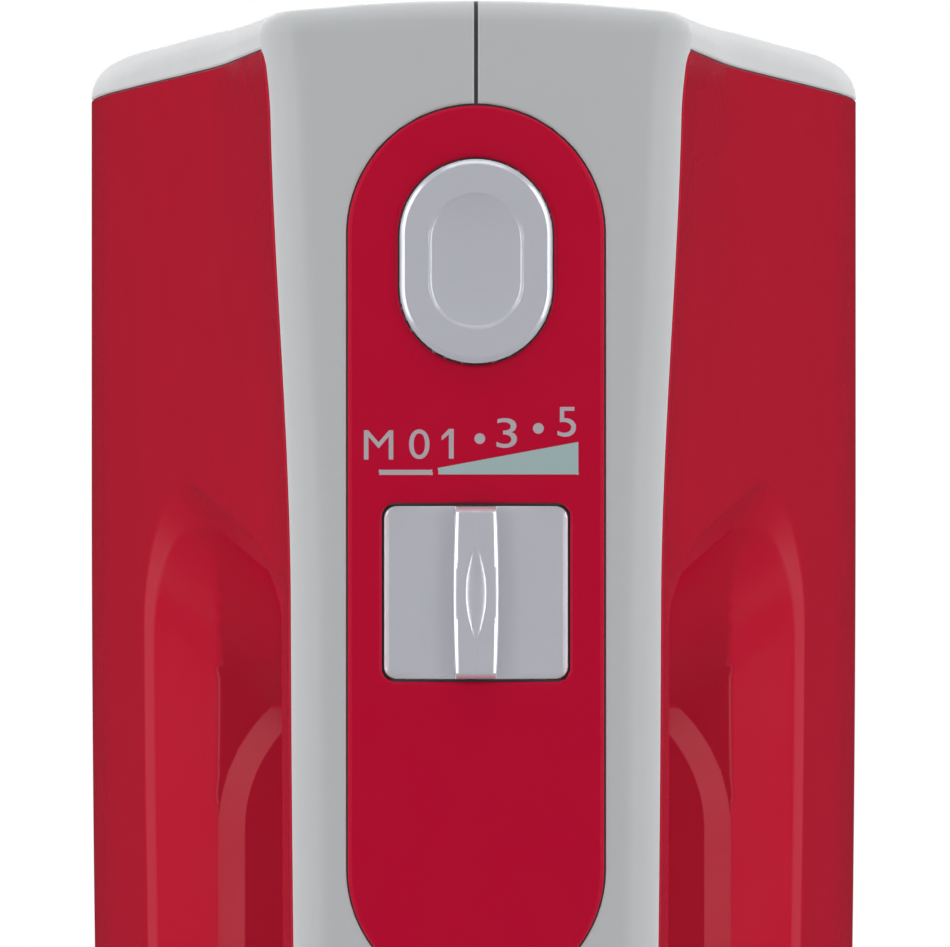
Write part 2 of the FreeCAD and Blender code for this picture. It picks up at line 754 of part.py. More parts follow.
def make_brackets():
    """Front and rear bearing brackets, each with two straps that clasp the stack."""
    def bracket(label, z, strap_low, strap_high):
        plate = rod("bracket_radius", "3", z=z)
        hub = rod("bearing_outer + 2.5", "bearing_length", z=z)
        straps = [block(("-5", low, strap_low), ("5", high, strap_high)) for low, high in
                  (("stack_half_y", "stack_half_y + 2.4"), ("-stack_half_y - 2.4", "-stack_half_y"))]
        bore = rod("bearing_outer", "bearing_length + 2", z=f"{z} - 1")
        vents = [rod(5, 8, x=x, y=y, z=f"{z} - 2") for x, y in ((15, 8), (-15, 8), (15, -8), (-15, -8))]
        node(cut(fuse(plate, hub, *straps), bore, *vents), label)

    bracket("motor_rear_bracket", "rear_bracket_z", "rear_bracket_z + 1", "stack_low + 13")
    bracket("motor_front_bracket", "front_bracket_z", "stack_high - 13", "front_bracket_z + 1")
    for label, z in (("rear_bearing", "rear_bracket_z"), ("front_bearing", "front_bracket_z")):
        turned(label, sleeve("shaft_radius + running", "bearing_outer", "0", "bearing_length"), z=z)


def make_armature():
    body = new_body("armature_core")
    pad(body, circle(body, "XY_Plane", "core_radius"), "stack_high - stack_low")
    pocket(body, circle(body, "XY_Plane", "shaft_radius"), "stack_high - stack_low", backwards=True)
    groove = rectangle(body, "XY_Plane", "9", "-1.3", "16", "1.3")
    slot = pocket(body, groove, "stack_high - stack_low", backwards=True)
    pattern(body, slot, 12)
    place(body, z="stack_low")

    low, high = amount("stack_low"), amount("stack_high")
    ends = []
    for start, end in ((low - 6.5, low), (high, high + 6.5)):
        ring = Part.makeCylinder(13.2, end - start, Vector(0, 0, start))
        ring = ring.makeFillet(2.5, [e for e in ring.Edges if isinstance(e.Curve, Part.Circle)])
        ends.append(ring.cut(Part.makeCylinder(amount("shaft_radius") + 0.6, 60, Vector(0, 0, start - 5))))
    bars = []
    for i in range(12):
        bar = box_shape((9.2, -1.2, low - 2), (12.8, 1.2, high + 2))
        bar.rotate(Vector(), Vector(0, 0, 1), i * FULL_TURN / 12)
        bars.append(bar)
    feature(ends[0].fuse([ends[1]] + bars).removeSplitter(), "armature_windings")

    body = new_body("commutator")
    pad(body, circle(body, "XY_Plane", "commutator_radius"), "commutator_high - commutator_low")
    pocket(body, circle(body, "XY_Plane", "shaft_radius"), "commutator_high - commutator_low", backwards=True)
    slit = rectangle(body, "XY_Plane", "commutator_radius - 1", "-0.25", "commutator_radius + 1", "0.25")
    groove = pocket(body, slit, "commutator_high - commutator_low - 1.5", backwards=True)
    pattern(body, groove, 24)
    place(body, z="commutator_low")

    fan = new_body("fan")
    pad(fan, circle(fan, "XY_Plane", "fan_radius"), "1.4")
    pad(fan, circle(fan, "XY_Plane", "6"), "9")
    blade = pad(fan, rectangle(fan, "XY_Plane", "5.5", "-0.6", "fan_radius - 0.3", "0.6"), "8.5")
    pattern(fan, blade, 9)
    pocket(fan, circle(fan, "XY_Plane", "shaft_radius"), "12", backwards=True)
    place(fan, z="fan_low")


def worm_solid():
    """Two-start worm: its section turns evenly as it climbs, with a thread on +X at the beaters' level."""
    starts, pitch_radius = int(amount("worm_starts")), amount("worm_pitch_radius")
    pitch = 2 * math.pi * (amount("beater_x") - pitch_radius) / amount("gear_teeth")
    radians_per_mm = 2 * math.pi / (pitch * starts)
    half, level = amount("worm_half"), amount("beater_z")
    root, tip = amount("worm_root_radius"), amount("worm_tip_radius")
    crest, slope = pitch * amount("tooth_share") / 2, math.tan(math.radians(20))
    slices = 84

    def section(z):
        points = []
        for start in range(starts):
            middle = 2 * math.pi * start / starts + z * radians_per_mm
            for radius, side in ((root, -1), (tip, -1), (tip, 1), (root, 1)):
                angle = middle + side * (crest - slope * (radius - pitch_radius)) * radians_per_mm
                points.append(Vector(radius * math.cos(angle), radius * math.sin(angle), level + z))
        return Part.makePolygon(points + points[:1])

    return Part.makeLoft([section(half * (2 * i / slices - 1)) for i in range(slices + 1)], True, True)


def make_shaft():
    """Ground shaft with the worm rolled on its front end."""
    radius, high = amount("shaft_radius"), amount("total_length") - 7
    shaft = Part.makeCylinder(radius, high - 32, Vector(0, 0, 32))
    feature(shaft.fuse(worm_solid()), "motor_shaft")


def make_brush_gear():
    """Two carbon brushes in box holders, with their springs and caps."""
    low, high = "commutator_low + 3", "commutator_high - 4"
    brush = block(("commutator_radius + 0.05", "-2.4", low), ("commutator_radius + 11", "2.4", high))
    node(fuse(brush, mirrored(brush)), "carbon_brushes")
    case = block(("13", "-4", f"{low} - 1.6"), ("29", "4", f"{high} + 1.6"))
    inside = block(("12", "-2.45", f"{low} - 0.05"), ("27.5", "2.45", f"{high} + 0.05"))
    leg = block(("20", "-3", "rear_bracket_z + 3"), ("25", "3", f"{low} - 1.6"))
    holder = cut(fuse(case, leg), inside)
    node(fuse(holder, mirrored(holder)), "brush_holders")
    middle = amount(f"({low} + {high}) / 2")
    start = amount("commutator_radius") + 11.3
    springs = [coil(1.7, 0.3, 1.3, 5.2, (side * start, 0, middle), (side, 0, 0)) for side in (1, -1)]
    feature(Part.makeCompound(springs), "brush_springs")


# --- Drive train -------------------------------------------------------------------------------

def gear_solid():
    """Helical worm wheel for the +X spindle, about its own axis along Y through the origin."""
    teeth = int(amount("gear_teeth"))
    pitch_radius = amount("beater_x") - amount("worm_pitch_radius")
    tip, root = amount("gear_tip_radius"), amount("gear_root_radius")
    step = 2 * math.pi / teeth
    half_pitch = step * amount("tooth_share") / 2
    flank = math.tan(math.radians(20)) / pitch_radius
    width = amount("gear_width")
    lead_slope = amount("worm_starts") * step * pitch_radius / (2 * math.pi * amount("worm_pitch_radius"))
    twist = lead_slope / pitch_radius            # radians of tooth advance per millimetre of width

    def outline(y):
        points = []
        for i in range(teeth):
            middle = (i + 0.5) * step + twist * y
            for radius, side in ((root, -1), (tip, -1), (tip, 1), (root, 1)):
                angle = middle + side * (half_pitch - flank * (radius - pitch_radius))
                points.append(Vector(-radius * math.cos(angle), y, radius * math.sin(angle)))
        return Part.makePolygon(points + points[:1])

    wheel = Part.makeLoft([outline(y) for y in (-width / 2, 0, width / 2)], True, True)
    hub = Part.makeCylinder(8.5, width + 2, Vector(0, -width / 2 - 1, 0), Vector(0, 1, 0))
    bore = Part.makeCylinder(amount("spindle_radius"), 40, Vector(0, -20, 0), Vector(0, 1, 0))
    return wheel.fuse(hub).cut(bore)


def make_gears():
    right = gear_solid()
    left = right.copy()
    left.rotate(Vector(), Vector(0, 0, 1), 180)
    for shape, side, label in ((right, 1, "right_worm_wheel"), (left, -1, "left_worm_wheel")):
        shape.translate(Vector(side * amount("beater_x"), 0, amount("beater_z")))
        feature(shape, label)


def make_spindles():
    """Hollow spindles that hold the beaters, and their bushes."""
    profile = sleeve("spindle_bore", "spindle_radius", "spindle_top_y", "spindle_end_y")
    for label, side in (("right_spindle", ""), ("left_spindle", "-")):
        turned(label, profile, along="Y", x=f"{side}beater_x", z="beater_z")
    bush = turned("bush", sleeve("spindle_radius + running", "spindle_radius + 2", "0", "6.5"), along="Y")
    spots = [(side * amount("beater_x"), y, amount("beater_z"))
             for side in (-1, 1) for y in (amount("frame_plate_y") - 1.5, -amount("frame_plate_y") - 5.0)]
    group("spindle_bushes", bush, spots)


FRAME_POSTS = [(x, dz) for x in (-32, 32) for dz in (-19, 19)]   # x, height from the beaters' level


def make_gear_frame():
    """Two cast plates that carry the spindle bushes, and the block for the shaft's front end."""
    z = "beater_z"
    holes = [rod("spindle_radius + 2", 60, x=f"{s} * beater_x", y="-30", z=z, along="Y") for s in (-1, 1)]
    y, thick = "frame_plate_y", "frame_plate_thick"
    lower = block(("-36", y, f"{z} - 22"), ("36", f"{y} + {thick}", f"{z} + 22"))
    upper = block(("-36", f"-{y} - {thick}", f"{z} - 22"), ("36", f"-{y}", f"{z} + 22"))
    posts = [rod("2.6", f"2 * {y}", x=x, y=f"-{y}", z=f"{z} + ({dz})", along="Y")
             for x, dz in FRAME_POSTS]
    node(cut(fuse(lower, *posts), *holes), "gear_frame")
    holes = [rod("spindle_radius + 2", 60, x=f"{s} * beater_x", y="-30", z=z, along="Y") for s in (-1, 1)]
    node(cut(upper, *holes), "gear_cover")
    nose = block(("-8", f"-{y}", "total_length - 12.5"), ("8", y, "total_length - 7"))
    seat = rod("shaft_radius + running", 12, z="total_length - 16")
    node(cut(nose, seat), "thrust_block")
    profile = [("0", "0"), ("2.6", "0"), ("2.6", "1.8"), ("1.3", "1.8"), ("1.3", "10"), ("0", "10")]
    screw = turned("screw", profile, along="Y")
    level = amount("beater_z")
    spots = [(x, -amount("frame_plate_y + frame_plate_thick") - 1.8, level + dz) for x, dz in FRAME_POSTS]
    frame_screws = group("gear_frame_screws", screw, spots)
    for label in ("gear_frame", "gear_cover"):
        part = NODES.pop(label)
        bored = cut(part, frame_screws)
        node(bored, label)
        part.Label = label + "_blank"


# --- Beaters -----------------------------------------------------------------------------------

def cage_path(turn):
    """Centreline of one wire loop: out from the shank, down the side, round the tip and back."""
    radius, high = amount("cage_radius"), amount("cage_high_y")
    tip = amount("beater_tip_y - wire_radius")
    neck = amount("shank_radius") + amount("wire_radius")
    half = [(neck, high - 6, 0), (neck + 0.6, high + 6, 14), (radius, high + 36, 24), (radius, tip, 15)]
    corners = half + [(-x, y, bend) for x, y, bend in reversed(half)]
    edges, last = [], None
    for i, (x, y, bend) in enumerate(corners):
        here = Vector(x, y, 0)
        if bend == 0:
            if last is not None:
                edges.append(Part.LineSegment(last, here).toShape())
            last = here
            continue
        before = Vector(*corners[i - 1][:2], 0) - here
        after = Vector(*corners[i + 1][:2], 0) - here
        before.normalize()
        after.normalize()
        angle = before.getAngle(after) / 2
        reach = bend / math.tan(angle)
        start, stop = here + before * reach, here + after * reach
        inward = before + after
        inward.normalize()
        middle = here + inward * (bend / math.sin(angle) - bend)
        edges.append(Part.LineSegment(last, start).toShape())
        edges.append(Part.Arc(start, middle, stop).toShape())
        last = stop
    path = Part.Wire(edges)
    path.rotate(Vector(), Vector(0, 1, 0), turn)
    return path


def beater_wires(turn):
    """Two crossed wire loops, crimped to the shank at both ends."""
    loops = []
    for angle in (turn, turn + 90):
        path = cage_path(angle)
        start = path.OrderedVertexes[0].Point
        section = Part.Wire(Part.Circle(start, Vector(0, 1, 0), amount("wire_radius")).toShape())
        loops.append(path.makePipeShell([section], True, True))
    neck, high = amount("shank_radius"), amount("cage_high_y")
    crimp = Part.makeCylinder(neck + 2.6, 8, Vector(0, high - 8, 0), Vector(0, 1, 0))
    boss = Part.makeCylinder(neck + 1.2, 5, Vector(0, amount("beater_tip_y") - 5.6, 0), Vector(0, 1, 0))
    core = Part.makeCylinder(neck, 200, Vector(0, amount("shank_top_y"), 0), Vector(0, 1, 0))
    core = core.common(box_shape((-9, -30, -9), (9, amount("beater_tip_y") - 3.0, 9)))
    return loops[0].fuse([loops[1], crimp, boss]).cut(core)


def make_beaters():
    """Right and left beaters, an eighth of a turn apart so that their wires pass between each other."""
    for side, label, turn in ((1, "right", 0), (-1, "left", 45)):
        x = f"{side} * beater_x"
        shank = [("0", "shank_top_y"), ("shank_radius - 0.8", "shank_top_y"),
                 ("shank_radius", "shank_top_y + 1"), ("shank_radius", "beater_tip_y - 3"),
                 ("0", "beater_tip_y - 3")]
        turned(f"{label}_beater_shank", shank, along="Y", x=x, z="beater_z")
        lip = "shank_radius"
        collar = [(lip, "belly_y + 2"), ("8.2", "belly_y + 2"), ("9", "belly_y + 3"), ("9", "belly_y + 4.5"),
                  ("6", "belly_y + 6"), ("5", "belly_y + 14"), (lip, "belly_y + 14")]
        turned(f"{label}_beater_collar", collar, along="Y", x=x, z="beater_z")
        wires = beater_wires(turn)
        wires.translate(Vector(amount(x), 0, amount("beater_z")))
        feature(wires, f"{label}_beater_wires")


# --- Cord inlet and fasteners ------------------------------------------------------------------

def make_cord_inlet():
    y = "belly_y"
    profile = [("gland_bore", f"{y} - 11"), ("gland_outer + 2", f"{y} - 11"),
               ("gland_outer + 2", f"{y} - 8.5"), ("gland_outer", f"{y} - 8.5"), ("gland_outer", f"{y}"),
               ("gland_outer + 2.2", f"{y}"), ("gland_outer + 2.2", f"{y} + 1.6"),
               ("gland_outer - 0.6", f"{y} + 5"), ("gland_bore", f"{y} + 5")]
    turned("cord_gland", profile, along="Y", z="gland_z")
    bar = block(("-10", "14", "gland_z - 4"), ("10", "18", "gland_z + 4"))
    groove = rod("gland_bore", 20, y="20.2", z="gland_z - 10")
    node(cut(bar, groove), "cord_clamp")


def make_housing_screws():
    profile = [("0", "0"), ("1.45", "0"), ("1.45", "27.5"), ("2.9", "27.5"), ("2.9", "30"), ("0", "30")]
    screw = turned("screw", profile, along="X")
    spots = [(HEAD_SEAT_X - 27.5, y, z) for y, z in SCREW_SPOTS]
    group("housing_screws", screw, spots)


make_housing()
make_socket_plate()
make_heel_pad()
make_control_panel()
make_eject_button()
make_eject_fork()
make_eject_spring()
make_speed_selector()
make_circuit()
make_stator()
make_brackets()
make_armature()
make_shaft()
make_brush_gear()
make_gears()
make_spindles()
make_gear_frame()
make_beaters()
make_cord_inlet()
make_housing_screws()
doc.recompute()

# --- Check and export --------------------------------------------------------------------------

for obj in doc.Objects:
    if "Invalid" in obj.State or "Error" in obj.State:
        raise RuntimeError(f"{obj.Label} failed: {obj.State}")
os.makedirs(PARTS_FOLDER, exist_ok=True)
for label, obj in sorted(NODES.items()):
    shape = obj.Shape
    if shape.isNull() or not shape.isValid() or not shape.Solids:
        raise RuntimeError(f"{label} has no valid solid")
    shape.exportStep(os.path.join(PARTS_FOLDER, f"{label}.step"))
    box = shape.BoundBox
    corners = [round(c, 1) for c in (box.XMin, box.YMin, box.ZMin, box.XMax, box.YMax, box.ZMax)]
    print(f"{label}: {len(shape.Solids)} solid(s), {shape.Volume / 1000:.2f} cm3,", corners)
print(len(NODES), "nodes")
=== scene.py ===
"""Hand mixer parked on its heel, seen square on to the top of its handle.

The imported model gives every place. The skins that show are rebuilt here as fine meshes: lengths in the
mesh code are millimetres in the row's frame, and become metres when a mesh is made.
"""

import json
import math

import bpy
import numpy as np
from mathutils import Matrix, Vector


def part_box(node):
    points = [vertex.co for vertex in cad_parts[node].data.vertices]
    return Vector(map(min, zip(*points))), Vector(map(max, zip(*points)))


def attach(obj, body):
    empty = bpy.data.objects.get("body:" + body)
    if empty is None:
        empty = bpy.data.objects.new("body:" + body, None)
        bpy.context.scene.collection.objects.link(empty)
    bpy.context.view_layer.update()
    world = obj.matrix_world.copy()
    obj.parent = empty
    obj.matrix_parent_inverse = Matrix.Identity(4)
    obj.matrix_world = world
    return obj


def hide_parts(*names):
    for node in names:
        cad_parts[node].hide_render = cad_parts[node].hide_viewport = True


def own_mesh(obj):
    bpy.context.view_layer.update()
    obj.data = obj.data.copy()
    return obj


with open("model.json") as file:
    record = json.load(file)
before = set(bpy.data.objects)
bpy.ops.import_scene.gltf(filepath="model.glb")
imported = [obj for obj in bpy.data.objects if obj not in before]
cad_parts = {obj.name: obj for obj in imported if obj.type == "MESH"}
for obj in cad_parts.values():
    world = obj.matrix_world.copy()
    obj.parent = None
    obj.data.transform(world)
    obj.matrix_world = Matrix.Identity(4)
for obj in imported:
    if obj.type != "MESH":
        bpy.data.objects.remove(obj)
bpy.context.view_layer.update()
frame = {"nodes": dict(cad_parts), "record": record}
nodes = frame["nodes"]
MM = 0.001


def span(node):
    """A node's lowest and highest corners in millimetres."""
    low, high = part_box(node)
    return np.array(low) / MM, np.array(high) / MM


# --- Sizes, in millimetres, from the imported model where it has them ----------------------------

shell_low, shell_high = span("right_shell")
panel_low, panel_high = span("control_panel")
button_low, button_high = span("eject_button")
slide_low, slide_high = span("speed_slide")
cover_low = span("right_side_cover")[0]
socket_low, socket_high = span("socket_plate")
pad_low, pad_high = span("heel_pad")
gland_low, gland_high = span("cord_gland")
spring_low, spring_high = span("eject_spring")

LENGTH = shell_high[2]
HEEL_Z = shell_low[2]
TOP_Y = shell_low[1]
BELLY_Y = 38.0
DECK_Y = -38.0
HANDLE_BASE_Y = -72.0
HANDLE_HALF = 21.7
BODY_SLANT = 0.965            # a distance across the slanting side, as a share of the sideways one
TOP_ROUND = 4.0
BELLY_ROUND = 16
HEEL_ROUND = 10
TOP_CROWN = 0.0012            # drop of the top face per square millimetre of width
BELLY_CROWN = 0.0012
NOSE_CROWN = 0.0025
NOSE_CROWN_HALF = 22          # the nose's crown ends this far out
HANDLE_CROWN = 0.004
HANDLE_WAIST = 0.010          # curve of the handle's sides, per square millimetre of height
HANDLE_ROUND = 9
GAP_Z = (42.0, 138.0)
GAP_CEILING_Y = -92.0
GAP_ROUND = 5                 # where the gap meets the handle
GAP_SOFTEN = 0.2              # how much gentler the gap's field is outside, so its edges stay even
DECK_ROUND = 18.5
FLARE_HALF = 22.3             # the gap's end walls open out beyond this
FLARE_SLOPE = 0.72
PLATEAU_HALF = 26.7           # the deck's flat middle, and the shallow bevel round it
PLATEAU_ROUND = 16.6
PLATEAU_MARGIN = 13.4         # from the gap's ends to the plateau's
BEVEL = 3.2
BEVEL_SLOPE = math.tan(math.radians(22.5))
RIM_FACET = (0.73, 2.4)       # at the deck, and at the gap's ends
COVER_TOP_Y = cover_low[1] + 0.1
COVER_LOW_Y = 18.0
COVER_Z = (9.0, LENGTH - 5.2)
COVER_ROUND = 2.0
SPINE_HALF = 8.0
JOINT = 0.18                  # widths of the seams, darkened by black strips of painted shade
MIDDLE_JOINT = 0.40
PANEL_HALF = panel_high[0]
PANEL_Z = (panel_low[2], panel_high[2])
PANEL_JOINT = 0.2
SKIN = 2.0
COVER_SKIN = 1.6
STEP = 1.25                   # spacing of the skins' points
CREASE = 0.16                 # half width of the rounding along the gap's facets


# --- Fields: signed distances, negative inside ---------------------------------------------------

def round_max(a, b, radius):
    """Intersection of two fields whose common edge is rounded."""
    reach = np.hypot(np.maximum(a + radius, 0), np.maximum(b + radius, 0))
    return np.minimum(np.maximum(a, b), -radius) + reach


def soft_max(a, b, width):
    """The larger of two fields, blended where they are nearly equal."""
    near = np.maximum(width - np.abs(a - b), 0) / width
    return np.maximum(a, b) + near**2 * width / 4


def ease(t):
    t = np.clip(t, 0, 1)
    return t * t * (3 - 2 * t)


def ramp(t, start, end):
    """A smooth rise from 0 at start to 1 at end."""
    return ease((t - start) / (end - start))


def curve(points, t):
    """A smooth curve through (t, value) points."""
    at, value = np.array(points, float).T
    slope = np.gradient(value, at)
    i = np.clip(np.searchsorted(at, t) - 1, 0, len(at) - 2)
    gap = at[i + 1] - at[i]
    s = np.clip((t - at[i]) / gap, 0, 1)
    hold, rise = 2 * s**3 - 3 * s**2 + 1, s**3 - 2 * s**2 + s
    fall = s**3 - s**2
    return hold * value[i] + rise * gap * slope[i] + (1 - hold) * value[i + 1] + fall * gap * slope[i + 1]


# Half width of the body from the handle's top to the belly.
BELL = [(-104, 21.8), (-97, 22.45), (-88.5, 23.9), (-79, 25.8), (-65.5, 28.6), (-45.3, 33.9), (-19, 41.1),
        (-3, 45.1), (9, 47.05), (20, 46.8), (30, 45.4), (42, 43.1)]


WAIST = 2.3                   # how much narrower the handle is away from the nose
NOSE_FLARE = 0.9
HEEL_TAPER = (150, 1.15e-4)   # starts below this height, and grows with the square of the distance


def half_width(y, z):
    near_top = 1 - ramp(y, -97, -57)
    narrowing = WAIST * (1 - ramp(z, 135, 195)) * near_top
    heel_taper = HEEL_TAPER[1] * np.minimum(z - HEEL_TAPER[0], 0) ** 2
    nose_flare = NOSE_FLARE * ramp(z, 188, 200) * near_top
    return curve(BELL, y) - narrowing - heel_taper + nose_flare


def rounded_box(u, v, half_u, half_v, radius):
    du, dv = np.abs(u) - half_u + radius, np.abs(v) - half_v + radius
    return np.hypot(np.maximum(du, 0), np.maximum(dv, 0)) + np.minimum(np.maximum(du, dv), 0) - radius


def stadium(u, v, half_across, half_along):
    reach = half_along - half_across
    return np.hypot(u, np.maximum(np.abs(v) - reach, 0)) - half_across


def plateau(x, z):
    """Distance outside the flat floor under the handle, seen from above."""
    middle, half = sum(GAP_Z) / 2, (GAP_Z[1] - GAP_Z[0]) / 2 - PLATEAU_MARGIN
    return rounded_box(x, z - middle, PLATEAU_HALF, half, PLATEAU_ROUND)


def finger_gap(x, y, z):
    """The space under and beside the handle, opening out towards the sides."""
    low, high = GAP_Z
    outside = plateau(x, z)
    base = DECK_Y + BEVEL * BEVEL_SLOPE
    flare_y = np.maximum(x - PLATEAU_HALF - BEVEL, 0)
    flare_z = FLARE_SLOPE * np.maximum(x - FLARE_HALF, 0)
    far_above = -130.0
    half_y = (base - far_above + flare_y) / 2
    middle_y, middle_z, half_z = far_above + half_y, (low + high) / 2, (high - low) / 2
    slot = rounded_box(y - middle_y, z - middle_z, half_y, half_z + flare_z, DECK_ROUND)
    slot = np.maximum(slot, GAP_CEILING_Y - y)
    slot = slot * (1 - GAP_SOFTEN * ease((x - FLARE_HALF) / 5))
    fall = np.maximum(np.maximum(BEVEL_SLOPE * outside, outside - BEVEL * (1 - BEVEL_SLOPE)), 0)
    slot = np.maximum(slot, (y - DECK_Y - fall) * (1 - GAP_SOFTEN * ease(fall / 3)))
    sides = x - (HANDLE_HALF - HANDLE_WAIST * (y + 85) ** 2)
    handle = round_max(sides, y - (HANDLE_BASE_Y - HANDLE_CROWN * x**2), HANDLE_ROUND)
    return round_max(slot, -handle, GAP_ROUND)


def body_form(points):
    """The housing before the finger gap is taken out of it."""
    x, y, z = np.abs(points[..., 0]), points[..., 1], points[..., 2]
    side = (x - half_width(y, z)) * BODY_SLANT
    top = TOP_Y + TOP_CROWN * x**2 - y
    belly = y - (BELLY_Y - BELLY_CROWN * x**2)
    brow = 0.55 * ramp(y, -95, -50) * ramp(x, 12, 30) + 0.35 * ramp(x, 34, 42)
    nose = z - (LENGTH - NOSE_CROWN * np.minimum(x, NOSE_CROWN_HALF) ** 2 + brow)
    section = round_max(round_max(side, belly, BELLY_ROUND), top, TOP_ROUND)
    nose_round = 2.6 + 2.0 * ramp(y, -45, 10)
    return round_max(round_max(section, nose, nose_round), HEEL_Z - z, HEEL_ROUND)


def gap_form(points):
    return -finger_gap(np.abs(points[..., 0]), points[..., 1], points[..., 2])


def facet(points):
    """Width of the flat facet along the gap's rim."""
    narrow, wide = RIM_FACET
    return narrow + (wide - narrow) * ramp(-points[..., 1], 28, 53)


def housing(points):
    """The outer form of the whole housing, skins and shells together."""
    body, gap = body_form(points), gap_form(points)
    chamfer = (body + gap + facet(points)) * 0.707
    return soft_max(np.maximum(body, gap), chamfer, CREASE)


def gradient(field, points, reach=0.02):
    steps = np.eye(3) * reach
    return np.stack([(field(points + s) - field(points - s)) / (2 * reach) for s in steps], -1)


def unit_normal(field, points):
    slope = gradient(field, points)
    return slope / np.linalg.norm(slope, axis=1)[:, None]


def settle(field, points, rounds=5):
    """Moves points along the field's slope until they lie on its surface."""
    for _ in range(rounds):
        slope = gradient(field, points)
        size = np.maximum((slope**2).sum(-1), 0.05)
        points = points - slope * (field(points) / size)[:, None]
    return points


def surface_net(field, low, high, step):
    """Triangles over the surface of a field, one point in each grid cell that it crosses."""
    axes = [np.arange(a, b + step, step) for a, b in zip(low, high)]
    grid = np.stack(np.meshgrid(*axes, indexing="ij"), -1)
    value = field(grid)
    inside = value < 0
    cells = tuple(n - 1 for n in value.shape)
    total, weight = np.zeros(cells + (3,)), np.zeros(cells)
    quads = []
    for axis in range(3):
        a = np.moveaxis(value, axis, 0)
        crossed = (a[:-1] < 0) != (a[1:] < 0)
        share = np.where(crossed, a[:-1] / np.where(crossed, a[:-1] - a[1:], 1), 0)
        share, crossed = np.moveaxis(share, 0, axis), np.moveaxis(crossed, 0, axis)
        start = grid[tuple(slice(0, n) for n in share.shape)].copy()
        start[..., axis] += share * step
        others = [i for i in range(3) if i != axis]
        for du in (0, 1):
            for dv in (0, 1):
                cut = [slice(None)] * 3
                for i, d in zip(others, (du, dv)):
                    cut[i] = slice(d, cells[i] + d)
                cut[axis] = slice(0, cells[axis])
                here = crossed[tuple(cut)]
                total += np.where(here[..., None], start[tuple(cut)], 0)
                weight += here
    index = np.full(cells, -1)
    used = weight > 0
    index[used] = np.arange(used.sum())
    points = total[used] / weight[used][:, None]
    for axis in range(3):
        others = [i for i in range(3) if i != axis]
        if axis == 1:
            others.reverse()
        cut = [slice(1, n) for n in cells]
        cut[axis] = slice(0, cells[axis])
        first = inside[tuple(cut)]
        cut[axis] = slice(1, cells[axis] + 1)
        second = inside[tuple(cut)]
        spots = np.argwhere(first != second)
        spots[:, others[0]] += 1
        spots[:, others[1]] += 1
        corners = []
        for du, dv in ((-1, -1), (0, -1), (0, 0), (-1, 0)):
            at = spots.copy()
            at[:, others[0]] += du
            at[:, others[1]] += dv
            corners.append(index[tuple(at.T)])
        quad = np.stack(corners, -1)
        flip = ~first[first != second]
        quad[flip] = quad[flip][:, ::-1]
        quads.append(quad)
    quads = np.concatenate(quads)
    points = relax(field, settle(field, points), quads)
    triangles = np.concatenate([quads[:, [0, 1, 2]], quads[:, [0, 2, 3]]])
    return points, triangles


def relax(field, points, quads, rounds=6):
    """Evens out the spacing of the points along the surface."""
    ends = np.concatenate([quads[:, [k, (k + 1) % 4]] for k in range(4)])
    ends = np.concatenate([ends, ends[:, ::-1]])
    count = np.bincount(ends[:, 0], minlength=len(points))[:, None]
    for _ in range(rounds):
        total = np.stack([np.bincount(ends[:, 0], points[ends[:, 1], k], len(points)) for k in range(3)], 1)
        points = settle(field, (points + total / np.maximum(count, 1)) / 2, 2)
    return points


def split(points, triangles, field, level):
    """Cuts triangles where a field passes a level, so that edges run along it."""
    value = field(points) - level
    value = np.where(np.abs(value) < 1e-6, 1e-6, value)
    above = value[triangles] > 0
    mixed = above.any(1) != above.all(1)
    tri, side = triangles[mixed], above[mixed]
    lone = np.where(side.sum(1) == 1, side.argmax(1), (~side).argmax(1))
    rows = np.arange(len(tri))
    a, b, c = (tri[rows, (lone + k) % 3] for k in range(3))
    pairs = np.sort(np.concatenate([np.stack([a, b], 1), np.stack([a, c], 1)]), 1)
    edges, where = np.unique(pairs, axis=0, return_inverse=True)
    where = where.reshape(-1)
    share = value[edges[:, 0]] / (value[edges[:, 0]] - value[edges[:, 1]])
    share = np.clip(share, 0.02, 0.98)[:, None]
    fresh = points[edges[:, 0]] * (1 - share) + points[edges[:, 1]] * share
    p, q = len(points) + where[:len(tri)], len(points) + where[len(tri):]
    made = np.concatenate([np.stack([a, p, q], 1), np.stack([p, b, c], 1), np.stack([p, c, q], 1)])
    return np.concatenate([points, fresh]), np.concatenate([triangles[~mixed], made])


def compact(points, triangles):
    used = np.unique(triangles)
    place = np.full(len(points), -1)
    place[used] = np.arange(len(used))
    return points[used], place[triangles]


def boundary(triangles):
    """The open edges of a sheet, in the direction of their triangles."""
    edges = np.concatenate([triangles[:, [0, 1]], triangles[:, [1, 2]], triangles[:, [2, 0]]])
    _, first, count = np.unique(np.sort(edges, 1), axis=0, return_index=True, return_counts=True)
    return edges[first[count == 1]]


def lip(distance, radius):
    """How far a rounded edge has sunk at a distance from its end."""
    inward = np.clip(radius - distance, 0, radius)
    return radius - np.sqrt(np.maximum(radius**2 - inward**2, 0))


def moulding(points, triangles, field, edge_distance, radius, thick):
    """A closed wall under a sheet of the form, its outer edges rounded."""
    normal = unit_normal(field, points)
    sunk = lip(edge_distance(points), radius)
    outer = points - normal * sunk[:, None]
    return *slab(outer, triangles, points - normal * thick), np.where(sunk[:, None] > 0, 0, normal)


def ledge(points, triangles, field, seam, low, high, depth, thick=0.6):
    """A black strip along a seam, a little below the surface, that closes the joint: painted shade standing
    in for the gap's shadow.
    """
    points, triangles = split(*split(points, triangles, seam, low), seam, high)
    points, triangles = keep(points, triangles, lambda p: np.minimum(seam(p) - low, high - seam(p)))
    normal = unit_normal(field, points)
    return slab(points - normal * depth, triangles, points - normal * (depth + thick))


# --- Making objects ------------------------------------------------------------------------------

